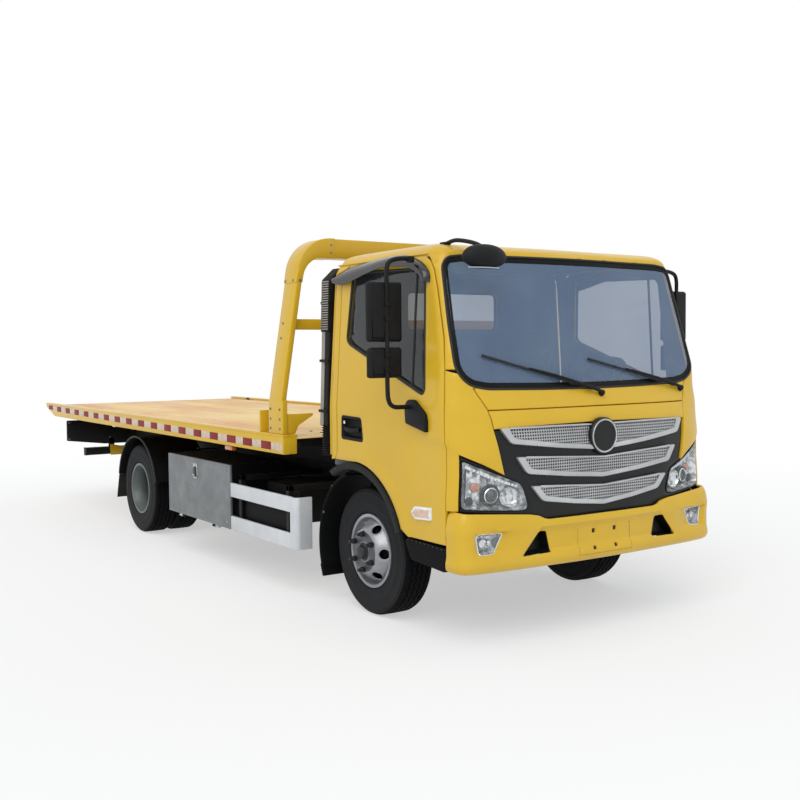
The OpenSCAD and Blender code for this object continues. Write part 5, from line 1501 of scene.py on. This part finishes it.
# Kerb mirror: a wide black plastic bowl on a curved tube from the roof edge, with the glass turned down
# so that the driver sees the ground ahead of the right front corner.
BOWL_AT, BOWL_SIZE = np.array((1000.0, -800.0, 2158.0)), np.array((62.0, 148.0, 72.0))
BOWL_TURNS, BOWL_RINGS, FLAT_BELOW = 40, 20, 0.82
ROOT_X, ROOT_Y = 640.0, -800.0
a = circle(BOWL_TURNS)
loops = []
for v in np.linspace(-math.pi / 2, math.pi / 2, BOWL_RINGS):
    r = math.cos(v) ** 0.85
    rise = math.sin(v) * (FLAT_BELOW if v < 0 else 1)
    loops.append(BOWL_AT + BOWL_SIZE * np.stack([r * np.cos(a), r * np.sin(a), np.full(BOWL_TURNS, rise)], 1))
glass_at = BOWL_AT + (-8, 0, -46)
glass = [glass_at + np.stack([s * 44 * np.cos(a), s * 112 * np.sin(a), np.full(BOWL_TURNS, -d)], 1)
         for s, d in ((1, 8), (0.98, 14), (0.9, 16), (0.01, 18))]
root_z = crown([(ROOT_X, ROOT_Y)], 0)[0]
arm = spline([(x, ROOT_Y, z) for x, z in (
    (ROOT_X, root_z), (730, root_z + 14), (830, 2262), (930, 2238), (985, 2212))])
foot = block(ROOT_X - 26, ROOT_X + 26, ROOT_Y - 24, ROOT_Y + 24, root_z - 14, root_z + 12, 8)
kerb_parts = [(strip(loops), mould_black), (strip(glass), mirror_face), (sweep(arm, 12, 12), mould_black),
              (foot, mould_black)]
piece("kerb_mirror_set", "chassis", kerb_parts, ["kerb_mirror"])


# Air intake: a tall moulded stack close behind the cab, leaning in with its side, with a louvred head,
# a pale duct below it and a ribbed rubber bellows at the foot, strapped to the back wall.
DUCT_REAR, DUCT_SHADE_EDGE, DUCT_FRONT, DUCT_OUT, DUCT_IN = -540.0, -494.0, -435.0, -980.0, -875.0
DUCT_LOW, HEAD_LOW, HEAD_TOP, BELLOWS_LOW = 1160.0, 1778.0, 2197, 968
LEAN, LEAN_FROM = 37 / 1050, 1150
HEAD_SLATS, SLAT_PITCH, SLAT_HIGH, BELLOWS_STEPS = 21, 15.5, 8, 49
duct_grey = finish("duct_grey", "a39e96", "8e8a83", 0.55, patch=5, grain=700, bump=0.0002, dirt=0.03)
head_line = fillet([(DUCT_OUT, HEAD_LOW), (DUCT_IN, HEAD_LOW), (DUCT_IN, HEAD_TOP), (DUCT_IN - 22, HEAD_TOP),
                    (DUCT_OUT, 2118)], 10)
upright = [(slab(head_line, "x", DUCT_REAR, DUCT_FRONT, 7), mould_black)]
for k in range(HEAD_SLATS):
    z = HEAD_LOW + 14 + k * SLAT_PITCH
    high = z + SLAT_HIGH
    upright += [(block(DUCT_REAR + 8, DUCT_FRONT - 8, DUCT_OUT - 5, DUCT_OUT + 4, z, high, 3), duct_grey),
                (block(DUCT_REAR - 5, DUCT_REAR + 4, DUCT_OUT + 8, DUCT_IN - 8, z, high, 3), rim_grey)]
# A black plate ahead of the pale duct: painted shade between the stack and the cab.
shade_backing = fillet(oblong(DUCT_SHADE_EDGE - 2, DUCT_FRONT - 4, DUCT_OUT + 8, DUCT_IN - 4), 10)
duct_line = fillet(oblong(DUCT_REAR + 4, DUCT_SHADE_EDGE, DUCT_OUT + 4, DUCT_IN - 4), 14)
upright += [(slab(shade_backing, "z", DUCT_LOW, HEAD_LOW + 4, 5), mould_black),
            (slab(duct_line, "z", DUCT_LOW, HEAD_LOW + 4, 6), duct_grey)]
for z in (1250, 1580, 1960):
    upright += [(block(DUCT_REAR - 3, DUCT_FRONT + 3, DUCT_OUT - 3, DUCT_IN + 3, z, z + 18, 4), mould_black),
                (block(DUCT_FRONT - 5, CAB_BACK + 4, -930, -890, z, z + 18, 4), chassis_black)]
stack = []
for (points, polys), material in upright:
    points = np.array(points, float)
    points[:, 1] += (points[:, 2] - LEAN_FROM) * LEAN
    stack.append(((points, polys), material))
folds = 46 + 6 * np.cos(np.arange(BELLOWS_STEPS) * math.pi / 2)
bellows = [((DUCT_REAR + DUCT_FRONT) / 2, -927.0, z)
           for z in np.linspace(BELLOWS_LOW, DUCT_LOW + 4, BELLOWS_STEPS)]
stack.append((sweep(bellows, folds, 24), flap_rubber))
piece("intake_stack", "chassis", stack, ["air_intake"])


# The bed plates: a long and a short sheet of yellow steel welded on cross bearers with low ribs and
# bolts, scraped by wheels down to the red lead primer in broad patches.
DECK_FRONT, DECK_TAIL, DECK_TOP, DECK_LOW, DECK_HALF = -725.0, -6385.0, 1095.0, 961.0, 1150.0
FLOOR, FLOOR_HALF, FLOOR_THICK = 1070.0, 1094.0, 8
SPLIT = DECK_FRONT - 500


def scuffed(f, where, tone, dull, height):
    """Paint rubbed through in broad soft patches, with a few drag marks along the bed."""
    rubbed = f.node("TexNoise", Vector=stretched(f, where, (0.35, 1.3, 1.0)), Scale=1.3, Detail=9.0,
                    Roughness=0.68)
    worn = ramp(f, rubbed, 0.4, 0.66)
    tone = blend(f, worn * 0.8, tone, rgb("dd9f86"))
    drag = f.node("TexNoise", Vector=stretched(f, where, (1.2, 16, 1)), Scale=2.0, Detail=6.0)
    grey = ramp(f, drag, 0.6, 0.76)
    return blend(f, grey * 0.35, tone, rgb("efe2c4")), dull + worn * 0.15, height + grey * 1.0


def bed_sheet(x0, x1):
    return slab(oblong(x0, x1, -FLOOR_HALF, FLOOR_HALF), "z", FLOOR - FLOOR_THICK, FLOOR, 2), bed_paint_and_sheen


# The pale base is partly the bed's own paint and partly painted sheen of the bed seen at a grazing angle.
bed_paint_and_sheen = finish("bed_paint_and_sheen", "efcf80", "f0d8a4", 0.55, patch=1.6, grain=300, bump=0.0003, shine=0.3,
                   work=scuffed)
floor_parts = [bed_sheet(DECK_TAIL + 2, SPLIT - 1)]
for y in (-820, -420, 0, 420, 820):
    rib = block(DECK_TAIL + 60, SPLIT - 20, y - 4, y + 4, FLOOR - 1, FLOOR + 2.5, 2)
    floor_parts.append((rib, bed_paint_and_sheen))
piece("bed_plate", "deck", floor_parts, ["deck_floor"])
front_plate = [bed_sheet(SPLIT + 1, DECK_FRONT - 2)]
for y in (-700, 700):
    for x in (-1150, -1000, -850):
        front_plate.append((bolt((x, y, FLOOR), "z+", 9, 6), nut_steel))
piece("bed_front_plate", "deck", front_plate, ["deck_front_plate"])


# Bed rails: folded steel sides in cab colour along the plate, swept up at the tail, with bands of red
# and white reflecting tape, an amber marker lamp and pockets for the lashings.
TAPE_HALF, TAPE_HIGH, TAPE_PITCH, TAPE_BANDS, WHITE_LONG = 75, 27, 311, 16, 158
TAPE_FIRST, TAPE_Z, TAPE_FALL = -980, 1010, 0.0068
MARKER_X = -1635
tape_red = finish("tape_red", "8c171b", "761216", 0.5, patch=20, grain=900, bump=0.00006, coat=0.05,
                  shine=0.2)
tape_white = finish("tape_white", "d2c2ae", "c2a98c", 0.4, patch=20, grain=900, bump=0.00006, coat=0.2)


def moulded_lens(name, code, deep):
    return finish(name, code, deep, 0.12, patch=20, grain=260, bump=0.0005, coat=0.8)


amber_lens = moulded_lens("amber_lens", "d9771c", "a8520c")
sweep_up = pairs(ring_arc((DECK_TAIL + 330, DECK_LOW + 150), 150, 250, 270, 8))
web_line = [(DECK_TAIL + 4, DECK_TOP - 6), (DECK_TAIL + 4, DECK_TOP - 45)] + sweep_up + [
    (DECK_FRONT - 4, DECK_LOW), (DECK_FRONT - 4, DECK_TOP - 6)]
cap_line = oblong(DECK_TAIL, DECK_FRONT, DECK_TOP - 17, DECK_TOP)
rail_side = [(slab(web_line, "y", 3 - DECK_HALF, 60 - DECK_HALF, 5), yellow),
             (slab(cap_line, "y", -DECK_HALF, 66 - DECK_HALF, 4), yellow),
             (block(DECK_FRONT - 260, DECK_FRONT - 2, -1100, -1040, FLOOR, DECK_TOP, 5), yellow),
             (block(DECK_FRONT - 60, DECK_FRONT - 1.5, 1.6 - DECK_HALF, -1042, DECK_LOW + 1,
                    DECK_TOP - 12, 5), yellow)]
marks = [TAPE_FIRST, -1272] + [-1543 - TAPE_PITCH * k for k in range(TAPE_BANDS)]
white_end = DECK_FRONT - 6
for x in marks:
    z = TAPE_Z - (x - TAPE_FIRST) * TAPE_FALL
    low = max(z - TAPE_HIGH, DECK_LOW + 6 + max(0, DECK_TAIL + 420 - x) * 0.25)
    high = z + TAPE_HIGH
    if x - TAPE_HALF > DECK_TAIL + 30:
        band = block(x - TAPE_HALF, x + TAPE_HALF, 1 - DECK_HALF, 5 - DECK_HALF, low, high, 1)
        rail_side.append((band, tape_red))
    start = x + TAPE_HALF + 1
    end = min(white_end, start + WHITE_LONG)
    rail_side.append((block(start, end, 1.4 - DECK_HALF, 5 - DECK_HALF, low, high, 1), tape_white))
    white_end = x - TAPE_HALF - 1
rail_side += [(block(MARKER_X - 60, MARKER_X + 60, -1132, -1092, 925, 963, 8), amber_lens),
              (block(MARKER_X - 66, MARKER_X + 66, -1136, -1080, 955, 964, 3), mould_black)]
for x in (-2000, -3000, -4000, -5000, -5900):
    lashing = [(x - 40, 1094), (x + 40, 1094), (x + 40, 1072), (x - 40, 1072)]
    rail_side.append((slab(fillet(lashing, 6), "y", -1096, -1082, 4), chassis_black))
piece("bed_rails", "deck", both_sides(rail_side), ["deck_rails"])


# Gantry: a hoop of folded box section that guards the cab, bolted through feet to the front of the bed,
# with sleeves at the upper corners, a middle bar and gussets.
FOOT_X, FOOT_DEEP, FOOT_OUT, FOOT_TOP = DECK_FRONT - 228, 204.0, -1140.0, 1325.0
LEG_X, LEG_DEEP, LEG_THICK, LEG_LEAN = FOOT_X + 12, 180.0, 42.0, 0.163
HOOP_TOP, BAR_HIGH, BEND, INNER_BEND = 2422.0, 130.0, 260.0, 160.0
BEND_AT, INNER_BEND_AT = (-740, HOOP_TOP - BEND), (-804, HOOP_TOP - BAR_HIGH - INNER_BEND)
SLEEVE_LOW, SLEEVE_END, SLEEVE_WALL = 2118.0, -710.0, 3
STAY_LONG, STAY_TOP, STAY_THICK = 140, 1245, 15


def leg_out(z):
    """The outer line of a leg, which leans in above its foot."""
    return FOOT_OUT + (z - FOOT_TOP) * LEG_LEAN


def leg_foot(y):
    return [(y, FOOT_TOP - 4), (y + 3, FOOT_TOP + 22)]


foot_in = FOOT_OUT + LEG_THICK
outer_line = leg_foot(FOOT_OUT) + pairs(ring_arc(BEND_AT, BEND, 171, 90, 18))
inner_line = leg_foot(foot_in) + pairs(ring_arc(INNER_BEND_AT, INNER_BEND, 171, 90, 14))
hoop = outer_line + [(-y, z) for y, z in outer_line[::-1] + inner_line] + inner_line[::-1]
gantry_parts = [(slab(hoop, "x", LEG_X, LEG_X + LEG_DEEP, 8), yellow),
                (block(LEG_X + 55, LEG_X + 125, -1018, 1018, 1800, 1872, 7), yellow)]
gusset = [(foot_in, DECK_TOP), (-1035, DECK_TOP), (-1010, 1150), (-896, 1215), (-896, 1230), (foot_in, 1230)]
stay_rear, stay_in = FOOT_X - STAY_LONG, foot_in + 45
side_stay = fillet(oblong(stay_rear, FOOT_X, DECK_TOP, STAY_TOP), 5)
rear_stay = fillet(oblong(FOOT_OUT, stay_in, DECK_TOP, STAY_TOP), 5)
sleeve = np.concatenate([
    [(leg_out(SLEEVE_LOW) - SLEEVE_WALL, SLEEVE_LOW)], ring_arc(BEND_AT, BEND + SLEEVE_WALL, 171, 90, 18),
    [(SLEEVE_END, HOOP_TOP + SLEEVE_WALL), (SLEEVE_END, HOOP_TOP - BAR_HIGH - SLEEVE_WALL)],
    ring_arc(INNER_BEND_AT, INNER_BEND - SLEEVE_WALL, 90, 171, 14),
    [(leg_out(SLEEVE_LOW) + LEG_THICK + SLEEVE_WALL, SLEEVE_LOW)]])
sleeve_front = LEG_X + LEG_DEEP + SLEEVE_WALL
gantry_side = [(block(FOOT_X, FOOT_X + FOOT_DEEP, FOOT_OUT, foot_in, DECK_TOP, FOOT_TOP, 8), yellow),
               (slab(fillet(gusset, 10), "x", FOOT_X + 180, FOOT_X + 192, 3), yellow),
               (slab(side_stay, "y", stay_in - STAY_THICK, stay_in, 3), yellow),
               (slab(rear_stay, "x", stay_rear, stay_rear + STAY_THICK, 3), yellow),
               (slab(sleeve, "x", LEG_X - SLEEVE_WALL, sleeve_front, 4), yellow)]
for x in (FOOT_X + 32, FOOT_X + 168):
    for z in (1130, 1195, 1262):
        gantry_side.append((bolt((x, FOOT_OUT, z), "y-", 7, 5), nut_steel))
pin_z = SLEEVE_LOW + 14
for x, z, wall in ((20, pin_z, SLEEVE_WALL), (130, pin_z, SLEEVE_WALL), (62, 1842, 0), (62, 1742, 0)):
    gantry_side.append((bolt((LEG_X + x, leg_out(z) - wall, z), "y-", 7, 5), nut_steel))
gantry_side.append((bolt((sleeve_front, leg_out(pin_z) + 24, pin_z), "x+", 7, 5), nut_steel))
for z in (HOOP_TOP - 42, HOOP_TOP - 95):
    gantry_side.append((bolt((sleeve_front, SLEEVE_END - 30, z), "x+", 6, 4), nut_steel))
piece("gantry_hoop", "deck", gantry_parts + both_sides(gantry_side), ["gantry"])


# Winch: a cast gear case and motor with two cheeks and a tie bar on a plate across the bed, and steel
# wire wound on its drum in even lays.
WINCH, DRUM_Z, WINCH_HALF, BASE_THICK = DECK_FRONT - 230, FLOOR + 150, 150, 16
LAYS, LAY_PITCH, DRUM_R, WIRE_R = 69, 5.0, 84, 5
cast_grey = finish("cast_grey", "34373a", "26282b", 0.5, metal=0.3, patch=10, grain=200, bump=0.0006)
wire_steel = finish("wire_steel", "8a8c8e", "66615a", 0.4, metal=0.85, patch=30, grain=600, bump=0.0003)
axis = (WINCH, 0.0, DRUM_Z)
coil = [(DRUM_R + WIRE_R * math.cos(k * math.pi), -170 + k * LAY_PITCH) for k in range(LAYS)]
coil = [(62, -178)] + coil + [(62, 178)]
motor = [(0, 328), (56, 328), (66, 320), (70, 300), (70, 212), (62, 204), (0, 204)]
gear_case = [(0, -318), (30, -318), (84, -304), (96, -280), (96, -214), (0, -214)]
base = block(WINCH - WINCH_HALF, WINCH + WINCH_HALF, -330, 330, FLOOR, FLOOR + BASE_THICK, 6)
winch_parts = [(base, cast_grey),
               (spin(coil, axis, 1, 40, False), wire_steel),
               (spin(motor, axis, 1, 36, False), cast_grey), (spin(gear_case, axis, 1, 36, False), cast_grey)]
cheek_line = [(WINCH + x, FLOOR + z) for x, z in (
    (-120, 10), (120, 10), (104, 200), (60, 270), (-60, 270), (-104, 200))]
for y in (-210, 180):
    winch_parts.append((slab(fillet(cheek_line, 16), "y", y, y + 30, 5), cast_grey))
for y in (-300, -100, 100, 300):
    for x in (WINCH - 136, WINCH + 136):
        winch_parts.append((bolt((x, y, FLOOR + BASE_THICK), "z+", 9, 6), nut_steel))
tie_bar = [(WINCH - 92, y, FLOOR + 235) for y in (-205, 205)]
winch_parts.append((sweep(tie_bar, 12, 12), nut_steel))
piece("winch_set", "deck", winch_parts, ["winch"])


# Tail board: a black pressed plate bolted across the rail ends, cut away in the middle, with a square
# underrun bar on two hangers below it.
BOARD_REAR, BOARD_FRONT = -5803, -5777
BAR_HALF, BAR_LOW, BAR_TOP, BAR_REAR = 900, 540, 620, -5855
board_right = [(-1102, 712), (-1094, 706), (-690, 656)]
board_top = [(592, 835), (606, 841), (684, 919), (700, 925), (1094, 925), (1102, 918)]
board = board_right + [(-y, z) for y, z in board_right[::-1]]
board += board_top[::-1] + [(-y, z) for y, z in board_top]
hanger_foot = [(-640, 530), (-470, 530), (-400, 600), (-640, 650)]
tail_parts = [(slab(board, "x", BOARD_REAR, BOARD_FRONT, 4), chassis_black),
              (block(BAR_REAR, BOARD_FRONT, -BAR_HALF, BAR_HALF, BAR_LOW, BAR_TOP, 9), chassis_black)]
tail_side = [(block(BOARD_REAR, BOARD_FRONT, -650, -590, 560, 720, 4), chassis_black),
             (block(BAR_REAR - 3, BOARD_FRONT + 3, -BAR_HALF - 4, 4 - BAR_HALF, BAR_LOW - 3, BAR_TOP + 3, 3),
              mould_black)]
for y, z in ((-1080, 728), (-1080, 902), (-720, 902), (-640, 728)):
    tail_side += [(bolt((BOARD_FRONT, y, z), "x+", 9, 6), nut_steel),
                  (bolt((BOARD_REAR, y, z), "x-", 9, 6), nut_steel)]
tail_side.append((slab(fillet(hanger_foot, 12), "x", BOARD_FRONT + 1, BOARD_FRONT + 11, 3), yellow))
piece("tail_board", "chassis", tail_parts + both_sides(tail_side), ["tail_panel"])


# Tail lamps: black moulded housings screwed to the tail board, each with an amber, a red and a clear
# lens pressed in side by side.
HOUSING_OUT, HOUSING_IN, HOUSING_LOW, HOUSING_TOP = -1070, -752, 762, 878
red_lens = moulded_lens("red_lens", "b3161a", "7d0c10")
clear_lens = moulded_lens("clear_lens", "d5d8da", "b2b6ba")
housing = fillet(oblong(HOUSING_OUT, HOUSING_IN, HOUSING_LOW, HOUSING_TOP), 16)
rear_lamp = [(slab(housing, "x", BOARD_REAR - 22, BOARD_REAR, 5), mould_black)]
for y0, y1, material in ((-1062, -968, amber_lens), (-962, -858, red_lens), (-852, -760, clear_lens)):
    lens = fillet(oblong(y0, y1, HOUSING_LOW + 8, HOUSING_TOP - 8), 12)
    rear_lamp.append((slab(lens, "x", BOARD_REAR - 41, BOARD_REAR - 19, 7), material))
piece("tail_lamps", "chassis", both_sides(rear_lamp), ["chassis_lamps"])
